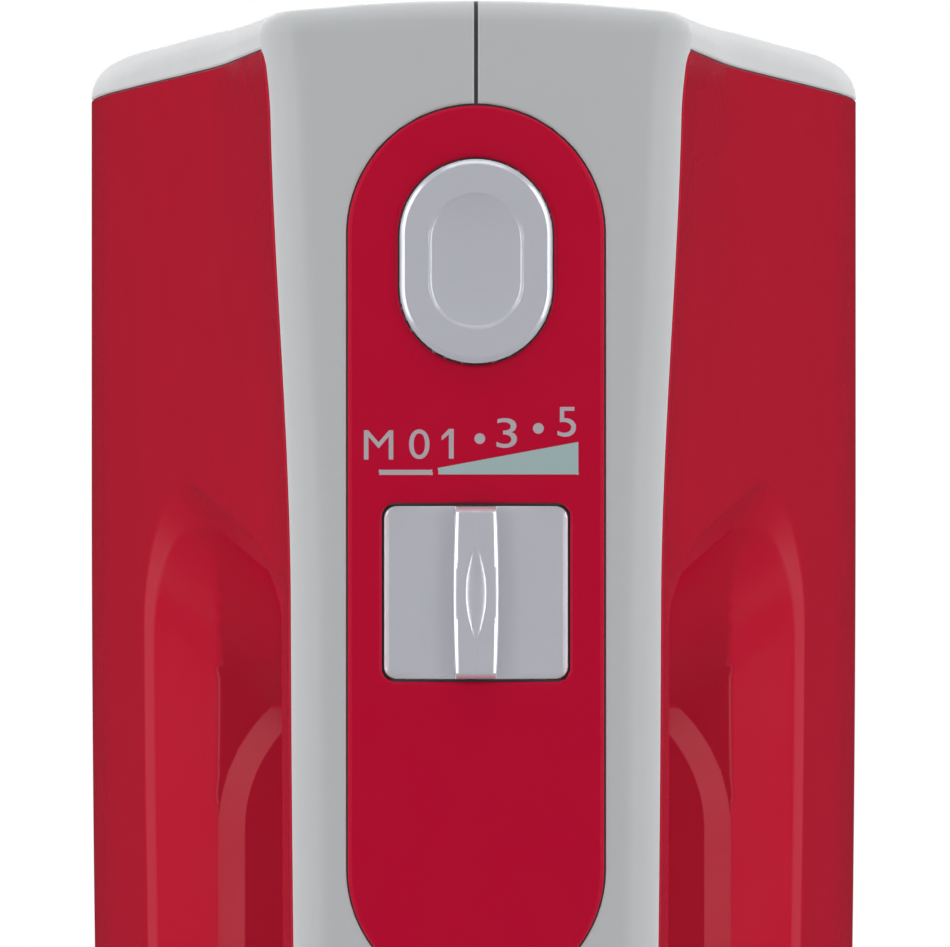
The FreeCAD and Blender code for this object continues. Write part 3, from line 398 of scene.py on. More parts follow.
def piece(name, points, faces, material, body, stands_for=(), smooth_angle=40, normals=None):
    """A mesh object in the row's frame that rides on a body and may stand for CAD nodes.

    normals are the exact ones of the first points, and zero where the mesh's own are to be used.
    """
    mesh = bpy.data.meshes.new(name)
    mesh.from_pydata([tuple(p) for p in np.asarray(points) * MM], [], [tuple(f) for f in faces])
    mesh.validate()
    obj = bpy.data.objects.new(name, mesh)
    bpy.context.scene.collection.objects.link(obj)
    mesh.materials.append(material)
    mesh.shade_smooth()
    mesh.set_sharp_from_angle(angle=math.radians(smooth_angle))
    if normals is not None:
        exact = np.zeros((len(mesh.vertices), 3))
        exact[:len(normals)] = normals
        mesh.normals_split_custom_set_from_vertices(exact.tolist())
    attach(obj, body)
    if stands_for:
        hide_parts(*stands_for)
    return obj


def mirrored(points, faces):
    return points * np.array([-1, 1, 1]), [tuple(reversed(f)) for f in faces]


def joined(*meshes):
    """Several closed meshes as one."""
    points, faces, count = [], [], 0
    for part_points, part_faces in meshes:
        points.append(np.asarray(part_points))
        faces.append(np.asarray(part_faces) + count)
        count += len(part_points)
    return np.concatenate(points), np.concatenate(faces)


def sheet(low, high, step):
    """A flat grid of triangles between two (x, z) corners, facing the handle's top side."""
    xs = np.linspace(low[0], high[0], max(int((high[0] - low[0]) / step), 2) + 1)
    zs = np.linspace(low[1], high[1], max(int((high[1] - low[1]) / step), 2) + 1)
    grid = np.stack(np.meshgrid(xs, zs, indexing="ij"), -1).reshape(-1, 2)
    points = np.stack([grid[:, 0], np.zeros(len(grid)), grid[:, 1]], 1)
    index = np.arange(len(grid)).reshape(len(xs), len(zs))
    a, b = index[:-1, :-1].ravel(), index[1:, :-1].ravel()
    c, d = index[1:, 1:].ravel(), index[:-1, 1:].ravel()
    return points, np.concatenate([np.stack([a, b, c], 1), np.stack([a, c, d], 1)])


def trimmed(low, high, step, outline, rings=(0,), others=()):
    """The part of a flat sheet inside an outline, with edges along rings inside it and other lines."""
    points, triangles = sheet(low, high, step)
    for ring in rings:
        points, triangles = split(points, triangles, outline, -ring)
    for field, level in others:
        points, triangles = split(points, triangles, field, level)
    return keep(points, triangles, lambda p: -outline(p))


def slab(points, triangles, inner):
    """A closed solid between a sheet of points and the same points moved to inner."""
    count = len(points)
    rim = boundary(triangles)
    walls = np.concatenate([
        np.stack([rim[:, 1], rim[:, 0], rim[:, 0] + count], 1),
        np.stack([rim[:, 1], rim[:, 0] + count, rim[:, 1] + count], 1),
    ])
    return np.concatenate([points, inner]), np.concatenate([triangles, triangles[:, ::-1] + count, walls])


def raised(points, y):
    """The same points at another depth."""
    lifted = points.copy()
    lifted[:, 1] = y
    return lifted


# --- Materials -----------------------------------------------------------------------------------

def new_material(name):
    material = bpy.data.materials.new(name)
    material.use_nodes = True
    tree = material.node_tree
    return material, tree, tree.nodes["Principled BSDF"]


def noise(tree, scale, detail=3.0, stretch=(1, 1, 1)):
    """Noise over the piece's own coordinates."""
    where = tree.nodes.new("ShaderNodeTexCoord")
    mapping = tree.nodes.new("ShaderNodeMapping")
    mapping.inputs["Scale"].default_value = stretch
    texture = tree.nodes.new("ShaderNodeTexNoise")
    texture.inputs["Scale"].default_value = scale
    texture.inputs["Detail"].default_value = detail
    tree.links.new(where.outputs["Object"], mapping.inputs["Vector"])
    tree.links.new(mapping.outputs["Vector"], texture.inputs["Vector"])
    return texture.outputs["Fac"]


def remap(tree, value, low, high):
    node = tree.nodes.new("ShaderNodeMapRange")
    node.inputs["From Min"].default_value = 0.3
    node.inputs["From Max"].default_value = 0.7
    node.inputs["To Min"].default_value = low
    node.inputs["To Max"].default_value = high
    tree.links.new(value, node.inputs["Value"])
    return node.outputs["Result"]


def blend_colours(tree, value, first, second):
    node = tree.nodes.new("ShaderNodeMix")
    node.data_type = "RGBA"
    node.inputs["A"].default_value = (*first, 1)
    node.inputs["B"].default_value = (*second, 1)
    tree.links.new(value, node.inputs["Factor"])
    return node.outputs["Result"]


def surface(name, colour, roughness, grain=1500, grain_depth=2e-6, mottle=0.04, metallic=0.0, coat=0.0,
            specular=0.5, brushed=None, sheen=0.0):
    """Moulded or metal surface: fine grain in the relief, uneven gloss and a faint drift of colour."""
    material, tree, shader = new_material(name)
    slow = noise(tree, 35, 2)
    darker = tuple(c * (1 - mottle) for c in colour)
    lighter = tuple(min(c * (1 + mottle), 1) for c in colour)
    tree.links.new(blend_colours(tree, slow, darker, lighter), shader.inputs["Base Color"])
    gloss = remap(tree, noise(tree, 160, 4), roughness * 0.88, roughness * 1.12)
    tree.links.new(gloss, shader.inputs["Roughness"])
    fine = noise(tree, grain, 2, brushed or (1, 1, 1))
    bump = tree.nodes.new("ShaderNodeBump")
    bump.inputs["Strength"].default_value = 1.0
    bump.inputs["Distance"].default_value = grain_depth
    tree.links.new(fine, bump.inputs["Height"])
    tree.links.new(bump.outputs["Normal"], shader.inputs["Normal"])
    shader.inputs["Metallic"].default_value = metallic
    shader.inputs["Coat Weight"].default_value = coat
    shader.inputs["Coat Roughness"].default_value = 0.08
    shader.inputs["Specular IOR Level"].default_value = specular
    shader.inputs["Sheen Weight"].default_value = sheen
    return material


GREY = surface("grey_plastic", (0.385, 0.395, 0.405), 0.38,
               grain=2200, grain_depth=6e-7, mottle=0.01, specular=0.4, sheen=0.8)
CRIMSON = surface("crimson_plastic", (0.40, 0.0035, 0.022), 0.24,
                  grain=400, grain_depth=6e-8, mottle=0.01, specular=0.25)
PANEL_RED = surface("panel_plastic", (0.385, 0.0025, 0.024), 0.20,
                    grain=400, grain_depth=6e-8, mottle=0.006, specular=0.12)
SILVER = surface("silver_lacquer", (0.76, 0.77, 0.84), 0.20,
                 grain=3000, grain_depth=6e-7, mottle=0.006, metallic=0.5, coat=0.3)
PRINT = surface("scale_print", (0.36, 0.31, 0.35), 0.5, grain=2500, mottle=0.03)
WEDGE_PRINT = surface("wedge_print", (0.28, 0.37, 0.37), 0.5, grain=2500, mottle=0.03)
RUBBER = surface("black_rubber", (0.03, 0.03, 0.032), 0.65, grain=900, grain_depth=8e-6, mottle=0.15)
# Black plastic of the inner parts, and painted shade for the strips in the housing's joints and openings.
BLACK_AND_PAINTED_SHADE = surface("black_plastic_and_painted_shade", (0.035, 0.035, 0.04), 0.5, grain=1500, grain_depth=4e-6, mottle=0.12)
CHROME = surface("beater_chrome", (0.85, 0.85, 0.87), 0.16,
                 grain=400, grain_depth=3e-7, mottle=0.02, metallic=0.75, coat=0.5)
STEEL = surface("ground_steel", (0.55, 0.55, 0.57), 0.28,
                grain=900, grain_depth=4e-6, mottle=0.06, metallic=1.0, brushed=(1, 12, 1))
CAST = surface("cast_alloy", (0.50, 0.50, 0.52), 0.5, grain=500, grain_depth=2e-5, mottle=0.1, metallic=0.9)
LAMINATED = surface("stacked_sheet", (0.20, 0.20, 0.22), 0.4,
                    grain=400, grain_depth=4e-5, mottle=0.15, metallic=0.9, brushed=(0.05, 0.05, 8))
COPPER = surface("enamelled_wire", (0.50, 0.20, 0.07), 0.3,
                 grain=500, grain_depth=9e-5, mottle=0.2, metallic=0.9, brushed=(6, 6, 0.4))
BRONZE = surface("sintered_bronze", (0.45, 0.29, 0.14), 0.45,
                 grain=1200, grain_depth=2e-5, mottle=0.15, metallic=0.9)
CARBON = surface("carbon", (0.02, 0.02, 0.022), 0.5, grain=2000, grain_depth=1e-5, mottle=0.3)
NYLON = surface("gear_nylon", (0.70, 0.68, 0.60), 0.42, grain=700, grain_depth=6e-6, mottle=0.05)
BOARD = surface("board_laminate", (0.03, 0.12, 0.06), 0.35, grain=600, grain_depth=1e-5, mottle=0.2)

SLOT_MATERIALS = {
    "shell_grey": GREY, "cover_red": CRIMSON, "panel_red": PANEL_RED, "silver_control": SILVER,
    "rubber_dark": RUBBER, "inner_plastic": BLACK_AND_PAINTED_SHADE, "gear_plastic": NYLON, "board_green": BOARD,
    "steel": STEEL, "beater_chrome": CHROME, "bracket_cast": CAST, "lamination": LAMINATED,
    "copper": COPPER, "bronze": BRONZE, "carbon": CARBON,
}
SLOT_NAMES = {material: slot for slot, material in SLOT_MATERIALS.items()}
SLOT_NAMES |= {PRINT: "silver_control", WEDGE_PRINT: "silver_control"}
for part in frame["record"]["subparts"]:
    data = nodes[part["node"]].data
    data.materials.clear()
    data.materials.append(SLOT_MATERIALS[part["material_slot"]])


# --- Housing skins -------------------------------------------------------------------------------

def cover_seam(points):
    """Distance outside the coloured side cover's outline."""
    x, y, z = np.abs(points[..., 0]), points[..., 1], points[..., 2]
    sides = round_max(COVER_TOP_Y - y, z - COVER_Z[1], COVER_ROUND)
    other = np.maximum(np.maximum(y - COVER_LOW_Y, COVER_Z[0] - z), SPINE_HALF - x)
    return np.maximum(sides, other)


def middle_seam(points):
    return np.abs(points[..., 0]) - MIDDLE_JOINT / 2


FAR = 99.0                    # stands for a distance that never matters
VENT_ROWS = [52 + 6.5 * i for i in range(3)] + [106 + 6.5 * i for i in range(4)]
VENT_X, VENT_HALF, VENT_REACH = 15, 1.15, 8.0
GLAND_RADIUS = 6.4
BELLY_FROM_Y = 25             # openings in the belly are looked for beyond this


def panel_outline(points):
    middle, half = sum(PANEL_Z) / 2, (PANEL_Z[1] - PANEL_Z[0]) / 2
    return stadium(points[..., 0], points[..., 2] - middle, PANEL_HALF, half)


def panel_opening(points):
    return np.where(points[..., 1] < -85, panel_outline(points) - PANEL_JOINT, FAR)


def vents(points):
    x, y, z = np.abs(points[..., 0]), points[..., 1], points[..., 2]
    slots = np.min([stadium(z - row, x - VENT_X, VENT_HALF, VENT_REACH) for row in VENT_ROWS], axis=0)
    return np.where(y > BELLY_FROM_Y, slots, FAR)


def belly_openings(points):
    """Socket plate, cord gland and vents."""
    x, y, z = np.abs(points[..., 0]), points[..., 1], points[..., 2]
    socket_z = (socket_low[2] + socket_high[2]) / 2
    gland_z = (gland_low[2] + gland_high[2]) / 2
    plate = stadium(z - socket_z, x, socket_high[2] - socket_z, socket_high[0]) - 0.2
    gland = np.hypot(x, z - gland_z) - GLAND_RADIUS
    return np.where(y > BELLY_FROM_Y, np.minimum(np.minimum(plate, gland), vents(points)), FAR)


def heel_opening(points):
    x, y, z = points[..., 0], points[..., 1], points[..., 2]
    middle = (pad_low[1] + pad_high[1]) / 2
    outline = rounded_box(x, y - middle, pad_high[0], (pad_high[1] - pad_low[1]) / 2, 8) - 0.15
    return np.where(z < 6, outline, FAR)


def keep(points, triangles, field):
    """The triangles on the outside of a field's zero line."""
    inside = field(points[triangles].mean(1)) > 0
    return compact(points, triangles[inside])


def shell_edges(points):
    """Distance from the nearest edge of the grey shell."""
    fields = [cover_seam(points) - JOINT / 2, middle_seam(points), panel_opening(points),
              belly_openings(points), heel_opening(points)]
    return np.min(fields, axis=0)


def cover_edges(points):
    return -cover_seam(points) - JOINT / 2


def rim_line(points):
    """Zero where the rim's facet meets the body's side."""
    return gap_form(points) + facet(points)


def slope_line(points):
    """Zero where the rim's facet meets the gap's slope."""
    return body_form(points) + facet(points)


def floor_line(points):
    x, y, z = np.abs(points[..., 0]), points[..., 1], points[..., 2]
    near = (np.abs(y - DECK_Y - 0.6) < 1.6) & (z > GAP_Z[0]) & (z < GAP_Z[1])
    return np.where(near, plateau(x, z), FAR)


LIP_RINGS = (0.0, 0.04, 0.11, 0.22, 0.45, 1.0)
SHELL_LIP, COVER_LIP, MIDDLE_LIP = 0.24, 0.14, 0.05
SEAM_DEPTH, PANEL_SEAM_DEPTH = 0.25, 0.3
TONGUE = (0.12, 1.2)          # depths of the black strip in the joint between the shells, which is painted shade in the middle seam
TONGUE_REACH = 0.5            # how far it runs in under the panel


def middle_lip(points):
    """Distance from the middle seam, stretched so that its lip is finer than the others."""
    return np.maximum(middle_seam(points) * SHELL_LIP / MIDDLE_LIP, 0)


def tongue_area(points):
    """Inside the black strip of painted shade that fills the joint between the two shells, clear of the
    panel.
    """
    return np.minimum(-middle_seam(points), panel_opening(points) + TONGUE_REACH)


def make_skins():
    """The right half is made, and mirrored for the left one."""
    low, high = (-4 * STEP, TOP_Y - 3, HEEL_Z - 3), (50, BELLY_Y + 3, LENGTH + 3)
    points, triangles = surface_net(housing, low, high, STEP)
    points, triangles = split(points, triangles, lambda p: p[..., 0], 0.0)
    for side in (-CREASE, CREASE):
        for line, level in ((rim_line, 0), (slope_line, 0), (floor_line, 0), (floor_line, BEVEL)):
            points, triangles = split(points, triangles, line, level + side)
            points = settle(housing, points, 2)
    everything = points, triangles
    for ring in LIP_RINGS:
        for side in (1, -1):
            points, triangles = split(points, triangles, cover_seam, side * (JOINT / 2 + ring))
        points, triangles = split(points, triangles, middle_seam, ring)
        for opening in (panel_opening, belly_openings, heel_opening):
            points, triangles = split(points, triangles, opening, ring)
    right = points[triangles].mean(1)[:, 0] > 0
    points, triangles = compact(points, triangles[right])
    points = settle(housing, points, 3)

    shell = keep(points, triangles, shell_edges)
    cover = keep(points, triangles, cover_edges)
    *shell_mesh, shell_normals = moulding(
        *shell, housing, lambda p: np.minimum(shell_edges(p), middle_lip(p)), SHELL_LIP, SKIN)
    *cover_mesh, cover_normals = moulding(*cover, housing, cover_edges, COVER_LIP, COVER_SKIN)
    # Black strips below the cover's seam, the panel's opening and the vents are painted shade: they keep the
    # gaps dark where the shadowless fills would light them.
    joint_shade = joined(ledge(points, triangles, housing, cover_seam, -JOINT / 2, JOINT / 2, SEAM_DEPTH),
                   ledge(points, triangles, housing, panel_opening, -PANEL_JOINT, 0.0, PANEL_SEAM_DEPTH),
                   ledge(points, triangles, housing, vents, -9.0, 0.6, SKIN + 0.05))
    piece("right_joint_liner", *joint_shade, BLACK_AND_PAINTED_SHADE, "housing")
    piece("left_joint_liner", *mirrored(*joint_shade), BLACK_AND_PAINTED_SHADE, "housing")
    for name, mesh, material, exact in (("shell_skin", shell_mesh, GREY, shell_normals),
                                        ("cover_skin", cover_mesh, CRIMSON, cover_normals)):
        node = name.replace("cover", "side_cover").removesuffix("_skin")
        piece(f"right_{name}", *mesh, material, "housing", [f"right_{node}"], normals=exact)
        flipped = exact * np.array([-1, 1, 1])
        piece(f"left_{name}", *mirrored(*mesh), material, "housing", [f"left_{node}"], normals=flipped)

    # A tongue in the joint between the shells, coloured black: painted shade in the middle seam.
    strip = keep(*split(*split(*everything, middle_seam, 0), panel_opening, -TONGUE_REACH), tongue_area)
    normal = unit_normal(housing, strip[0])
    tongue = slab(strip[0] - normal * TONGUE[0], strip[1], strip[0] - normal * TONGUE[1])
    piece("shell_joint_tongue_painted_shade", *tongue, BLACK_AND_PAINTED_SHADE, "housing")


# --- Controls --------------------------------------------------------------------------------------

BUTTON_Z = (button_low[2] + button_high[2]) / 2
BUTTON_HALF, BUTTON_REACH = 8.2, 10.95
BUTTON_FACE = button_low[1]
BUTTON_JOINT = 0.22
BUTTON_SKIRT_Y = -98.4
DISH_HALF, DISH_REACH = 5.15, 7.35
SLIDE_Z = (slide_low[2] + slide_high[2]) / 2
SLIDE_HALF = (slide_high[2] - slide_low[2]) / 2
WINDOW_HALF = 10.15
WINDOW_JOINT, WINDOW_ROUND = 0.25, 1.5
PANEL_FACE = panel_low[1] + 0.02
PANEL_RELIEF = 0.35           # the moulded panel is thinner, clear of the sliding plate
PANEL_LIP, HOLE_LIP = 0.55, 0.35
# Depths of the black rims of painted shade under the panel's openings.
PANEL_SHADE_Y = (-99.9, -99.3)


def panel_face(x):
    return PANEL_FACE + TOP_CROWN * x**2


def panel_holes(points):
    """Distance inside the button's and the selector's openings, negative outside them."""
    x, z = points[..., 0], points[..., 2]
    button = stadium(x, z - BUTTON_Z, BUTTON_HALF + BUTTON_JOINT, BUTTON_REACH + BUTTON_JOINT)
    window = rounded_box(x, z - SLIDE_Z, WINDOW_HALF, SLIDE_HALF + WINDOW_JOINT, WINDOW_ROUND)
    return -np.minimum(button, window)


def panel_area(points):
    return np.maximum(panel_outline(points), panel_holes(points))


def make_panel():
    low, high = (-PANEL_HALF - 1, PANEL_Z[0] - 1), (PANEL_HALF + 1, PANEL_Z[1] + 1)
    points, triangles = trimmed(low, high, 1.0, panel_area, (0, 0.05, 0.13, 0.25, 0.4, 0.6))
    points = raised(points, panel_face(points[:, 0]))
    outer = points.copy()
    outer[:, 1] += lip(-panel_outline(points), PANEL_LIP) + lip(-panel_holes(points), HOLE_LIP)
    mesh = slab(outer, triangles, raised(points, panel_high[1] - PANEL_RELIEF))
    piece("control_panel_skin", *mesh, PANEL_RED, "housing", ["control_panel"])

    def around_button(p):
        distance = stadium(p[..., 0], p[..., 2] - BUTTON_Z, BUTTON_HALF, BUTTON_REACH)
        return np.maximum(distance - 0.6, 0.03 - distance)

    def beyond_slide(p):
        frame_line = rounded_box(p[..., 0], p[..., 2] - SLIDE_Z, WINDOW_HALF + 0.3, SLIDE_HALF + 0.6, 1.6)
        return np.maximum(frame_line, SLIDE_HALF + 0.04 - np.abs(p[..., 2] - SLIDE_Z))

    # Black rims under the panel round the button and the selector's window: painted shade in their gaps.
    rims = []
    for field, place in ((around_button, BUTTON_Z), (beyond_slide, SLIDE_Z)):
        flat, faces = trimmed((-12, place - 13), (12, place + 13), 0.6, field)
        rims.append(slab(raised(flat, PANEL_SHADE_Y[0]), faces, raised(flat, PANEL_SHADE_Y[1])))
    piece("control_panel_painted_shade", *joined(*rims), BLACK_AND_PAINTED_SHADE, "housing")


def make_button():
    """Oval cap: a bright chamfer round a flat ring, and a dished middle."""
    def outline(p):
        return stadium(p[..., 0], p[..., 2] - BUTTON_Z, BUTTON_HALF, BUTTON_REACH)

    def dish(p):
        return stadium(p[..., 0], p[..., 2] - BUTTON_Z, DISH_HALF, DISH_REACH)

    low = (-BUTTON_HALF - 1, BUTTON_Z - BUTTON_REACH - 1)
    high = (BUTTON_HALF + 1, BUTTON_Z + BUTTON_REACH + 1)
    rings = (0, 0.1, 0.2, 0.35, 0.5, 0.62, 0.75, 0.95)
    dish_lines = [(dish, level) for level in (0.06, 0.0, -0.05, -0.27, -0.32, -0.5, -0.8, -1.3, -2.0)]
    points, triangles = trimmed(low, high, 0.6, outline, rings, dish_lines)
    inside = -outline(points)
    chamfer, slope, edge_round = 0.55, 0.43, 0.08
    wall_width, wall_depth, dish_depth, crown = 0.32, 0.14, 0.55, 0.004
    rim = np.maximum(chamfer - inside, 0)
    drop = rim * slope + lip(inside, edge_round)
    wall = np.clip(-dish(points) / wall_width, 0, 1)
    middle = np.clip(-dish(points) / DISH_HALF, 0, 1)
    drop += wall_depth * wall + dish_depth * (1 - (1 - middle) ** 2)
    top = raised(points, BUTTON_FACE + drop + crown * points[:, 0] ** 2)
    cap = slab(top, triangles, raised(points, button_high[1] - 0.3))

    flange = button_high[0] - BUTTON_HALF

    def skirt_outline(p):
        return outline(p) - flange

    wide = [(low[0] - flange, low[1] - flange), (high[0] + flange, high[1] + flange)]
    skirt_points, skirt_triangles = trimmed(*wide, 1.0, skirt_outline)
    skirt = slab(raised(skirt_points, BUTTON_SKIRT_Y), skirt_triangles, raised(skirt_points, button_high[1]))
    piece("eject_button_cap", *joined(cap, skirt), SILVER, "eject", ["eject_button"], 30)


SPRING_WIRE = 0.45
SPRING_TURNS = 6


def make_eject_spring():
    """Compression spring of the eject button."""
    radius = spring_high[0] - SPRING_WIRE
    start, end = spring_low[1] + SPRING_WIRE, spring_high[1] - SPRING_WIRE
    count, around = SPRING_TURNS * 40 + 1, 12
    turn = np.linspace(0, SPRING_TURNS * 2 * np.pi, count)[:, None]
    angle = np.linspace(0, 2 * np.pi, around, endpoint=False)[None, :]
    reach = radius + SPRING_WIRE * np.cos(angle)
    along = start + (end - start) * turn / turn[-1] + SPRING_WIRE * np.sin(angle)
    points = np.stack([reach * np.cos(turn), along, BUTTON_Z + reach * np.sin(turn)], -1).reshape(-1, 3)
    faces = [list(range(around))[::-1], list(range((count - 1) * around, count * around))]
    for k in range(count - 1):
        row = k * around
        for i in range(around):
            j = (i + 1) % around
            faces.append([row + j, row + around + j, row + around + i, row + i])
    spring = piece("eject_spring_coil", points, faces, STEEL, "housing", ["eject_spring"], 60)
    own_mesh(spring)


SLIDE_RADIUS = 23.5
SLIDE_AXIS_Y = slide_low[1] + SLIDE_RADIUS + 2.0
PLATE_HALF = 9.72             # along the arc
PLATE_CURVE = 70.0            # radius of the plate, flatter than the arc it travels on
PLATE_BEVEL = (0.6, 0.08)     # width and drop
RIDGE_HALF, RIDGE_RISE = 2.23, 1.8
GROOVE_HALF, GROOVE_REACH, GROOVE_DEPTH = 1.06, 5.3, 0.24
SKIRT_DEPTH = (0.9, 1.8)      # below the arc


def make_slide():
    """Cylindrical plate with bevelled edges, a thumb ridge with a lens-shaped groove, and side skirts."""
    def full(p):
        reach = math.asin(slide_high[0] / SLIDE_RADIUS) * SLIDE_RADIUS
        return rounded_box(p[..., 0], p[..., 2] - SLIDE_Z, reach, SLIDE_HALF, 0.4)

    def plate(p):
        return rounded_box(p[..., 0], p[..., 2] - SLIDE_Z, PLATE_HALF, SLIDE_HALF - 0.05, 1.3)

    def ridge(p):
        barrel = RIDGE_HALF - 0.25 * ((p[..., 2] - SLIDE_Z) / SLIDE_HALF) ** 2
        return np.abs(p[..., 0]) - barrel

    def groove_half(p):
        along = np.clip((p[..., 2] - SLIDE_Z) / GROOVE_REACH, -1, 1)
        return GROOVE_HALF * (1 - along**2)

    def groove(p):
        return np.abs(p[..., 0]) - groove_half(p)

    low, high = (-15.5, SLIDE_Z - SLIDE_HALF - 0.5), (15.5, SLIDE_Z + SLIDE_HALF + 0.5)
    lines = [(plate, level) for level in (0.12, 0.0, -0.1, -0.3, -0.55, -0.7)]
    lines += [(ridge, level) for level in (0.25, 0.1, 0.0, -0.05, -0.38, -0.6)]
    lines += [(groove, level) for level in (0.06, 0.0, -0.08, -0.2, -0.4, -0.7)]
    points, triangles = trimmed(low, high, 0.45, full, (0, 0.1, 0.2), lines)
    inside_plate = -plate(points)
    bevel, bevel_drop = PLATE_BEVEL
    edge = np.clip(inside_plate / bevel, 0, 1)
    arc_drop = SLIDE_RADIUS * (1 - np.cos(points[:, 0] / SLIDE_RADIUS))
    flatter = arc_drop - points[:, 0] ** 2 / 2 / PLATE_CURVE
    rise = bevel_drop * edge - bevel_drop - lip(inside_plate, 0.12)
    rise += flatter
    ridge_in = -ridge(points)
    height = RIDGE_RISE * ease((ridge_in + 0.25) / 0.3) + 0.14 * np.clip((ridge_in - 0.05) / 0.33, 0, 1)
    height *= ease((SLIDE_HALF - np.abs(points[:, 2] - SLIDE_Z)) / 0.7) ** 0.5
    half = np.maximum(groove_half(points), 0.05)
    height -= GROOVE_DEPTH * half * np.maximum(1 - (points[:, 0] / half) ** 2, 0)
    angle = points[:, 0] / SLIDE_RADIUS
    radius = SLIDE_RADIUS + rise + height

    def arc(reach):
        return np.stack([reach * np.sin(angle), SLIDE_AXIS_Y - reach * np.cos(angle), points[:, 2]], 1)

    top, bottom = (arc(np.full(len(points), SLIDE_RADIUS - depth)) for depth in SKIRT_DEPTH)
    skirt = slab(top, triangles, bottom)
    piece("speed_slide_skirt", *skirt, BLACK_AND_PAINTED_SHADE, "selector", ["speed_slide"])
    inside = plate(points[triangles].mean(1)) < 0
    cap = slab(arc(radius), triangles[inside], bottom)
    piece("speed_slide_cap", *cap, SILVER, "selector", ["speed_slide"], 30)


# --- Printed speed scale -----------------------------------------------------------------------------

INK, INK_ROOT = 0.03, 0.08     # how far the print stands proud, and reaches in


def on_panel(name, points, triangles, material):
    flat = raised(points, panel_face(points[:, 0]))
    mesh = slab(flat - [0, INK, 0], triangles, flat + [0, INK_ROOT, 0])
    piece(name, *mesh, material, "housing")


def printed_letter(name, letter, low, high):
    """One sign of the built-in lettering, fitted to a box on the panel."""
    text = bpy.data.curves.new(name, "FONT")
    text.body = letter
    text.resolution_u = 6
    holder = bpy.data.objects.new(name, text)
    bpy.context.scene.collection.objects.link(holder)
    mesh = bpy.data.meshes.new_from_object(holder)
    bpy.data.objects.remove(holder)
    mesh.calc_loop_triangles()
    flat = np.array([v.co[:2] for v in mesh.vertices])
    triangles = np.array([t.vertices for t in mesh.loop_triangles])
    size = flat.max(0) - flat.min(0)
    placed = np.array(low) + (flat - flat.min(0)) / size * (np.array(high) - np.array(low))
    points = np.stack([placed[:, 0], np.zeros(len(placed)), placed[:, 1]], 1)
    a, b, c = (placed[triangles[:, k]] for k in range(3))
    turn = (b[:, 0] - a[:, 0]) * (c[:, 1] - a[:, 1]) - (b[:, 1] - a[:, 1]) * (c[:, 0] - a[:, 0])
    triangles[turn < 0] = triangles[turn < 0][:, ::-1]
    bpy.data.meshes.remove(mesh)
    on_panel(name, points, triangles, PRINT)


# Heights are above the selector's upper edge.
SCALE_BASE = SLIDE_Z + SLIDE_HALF
LETTERS = [("M", -12.05, -8.9, 4.95, 8.1), ("0", -7.2, -5.0, 5.0, 8.2), ("1", -3.7, -2.4, 5.05, 8.25),
           ("3", 2.2, 4.4, 6.2, 9.4), ("5", 8.75, 10.75, 7.4, 10.6)]
DOTS = [(0.4, 7.2), (6.7, 8.3)]
DOT_RADIUS = 0.58
BAR = (-10.4, -4.7, 3.3, 3.85)
WEDGE = (-4.05, 11.0, 3.35, 4.05, 6.85)      # left, right, base, left height, right height


def printed_one(x0, x1, z0, z1):
    """A figure one with a plain stem, drawn from its own outline."""
    stem, flag = 0.52, 0.8
    corners = [(x1 - stem, z0), (x1, z0), (x1, z1), (x1 - stem, z1), (x0, z1 - flag), (x0, z1 - flag - 0.45),
               (x1 - stem, z1 - 0.6)]
    outline = np.array([(x, 0, SCALE_BASE + z) for x, z in corners])
    triangles = np.array([[0, 1, 2], [0, 2, 6], [6, 2, 3], [6, 3, 4], [6, 4, 5]])
    on_panel("scale_mark_1", outline, triangles, PRINT)


def make_scale():
    for letter, x0, x1, z0, z1 in LETTERS:
        if letter == "1":
            printed_one(x0, x1, z0, z1)
        else:
            printed_letter(f"scale_mark_{letter}", letter, (x0, SCALE_BASE + z0), (x1, SCALE_BASE + z1))
    for number, (x, z) in enumerate(DOTS):
        centre = np.array([x, 0, SCALE_BASE + z])

        def disc(p):
            return np.linalg.norm((p - centre)[..., [0, 2]], axis=-1) - DOT_RADIUS

        corner = centre[[0, 2]]
        points, triangles = trimmed(corner - 0.8, corner + 0.8, 0.15, disc)
        on_panel(f"scale_dot_{number + 1}", points, triangles, PRINT)

    def bar(p):
        x0, x1, z0, z1 = BAR
        return rounded_box(p[..., 0] - (x0 + x1) / 2, p[..., 2] - SCALE_BASE - (z0 + z1) / 2,
                           (x1 - x0) / 2, (z1 - z0) / 2, 0.05)

    def wedge(p):
        x0, x1, base, low, high = WEDGE
        x, z = p[..., 0], p[..., 2] - SCALE_BASE
        top = low + (high - low) * (x - x0) / (x1 - x0)
        return np.max([x0 - x, x - x1, base - z, (z - top) * 0.98], axis=0)

    for name, field, (x0, x1, z0, z1), ink in (
            ("scale_bar", bar, BAR, PRINT), ("scale_wedge", wedge, (*WEDGE[:3], WEDGE[4]), WEDGE_PRINT)):
        low, high = (x0 - 0.3, SCALE_BASE + z0 - 0.3), (x1 + 0.3, SCALE_BASE + z1 + 0.3)
        on_panel(name, *trimmed(low, high, 0.25, field), ink)


# --- Stage, lights and camera ----------------------------------------------------------------------

def make_camera():
    """Square on to the handle's top, from arm's length, a little left of the middle."""
    camera = bpy.data.cameras.new("camera")
    camera.lens = 264.3
    camera.sensor_width = 36.0
    camera.shift_x = 0.0182
    left, distance, height = 1.97, 750, 149.4
    obj = bpy.data.objects.new("camera", camera)
    obj.location = (-left * MM, (TOP_Y - distance) * MM, height * MM)
    obj.rotation_euler = (math.radians(90), 0, 0)
    bpy.context.scene.collection.objects.link(obj)
    bpy.context.scene.camera = obj


MIDDLE = (0, -0.03, 0.12)      # what every light is aimed at, in metres


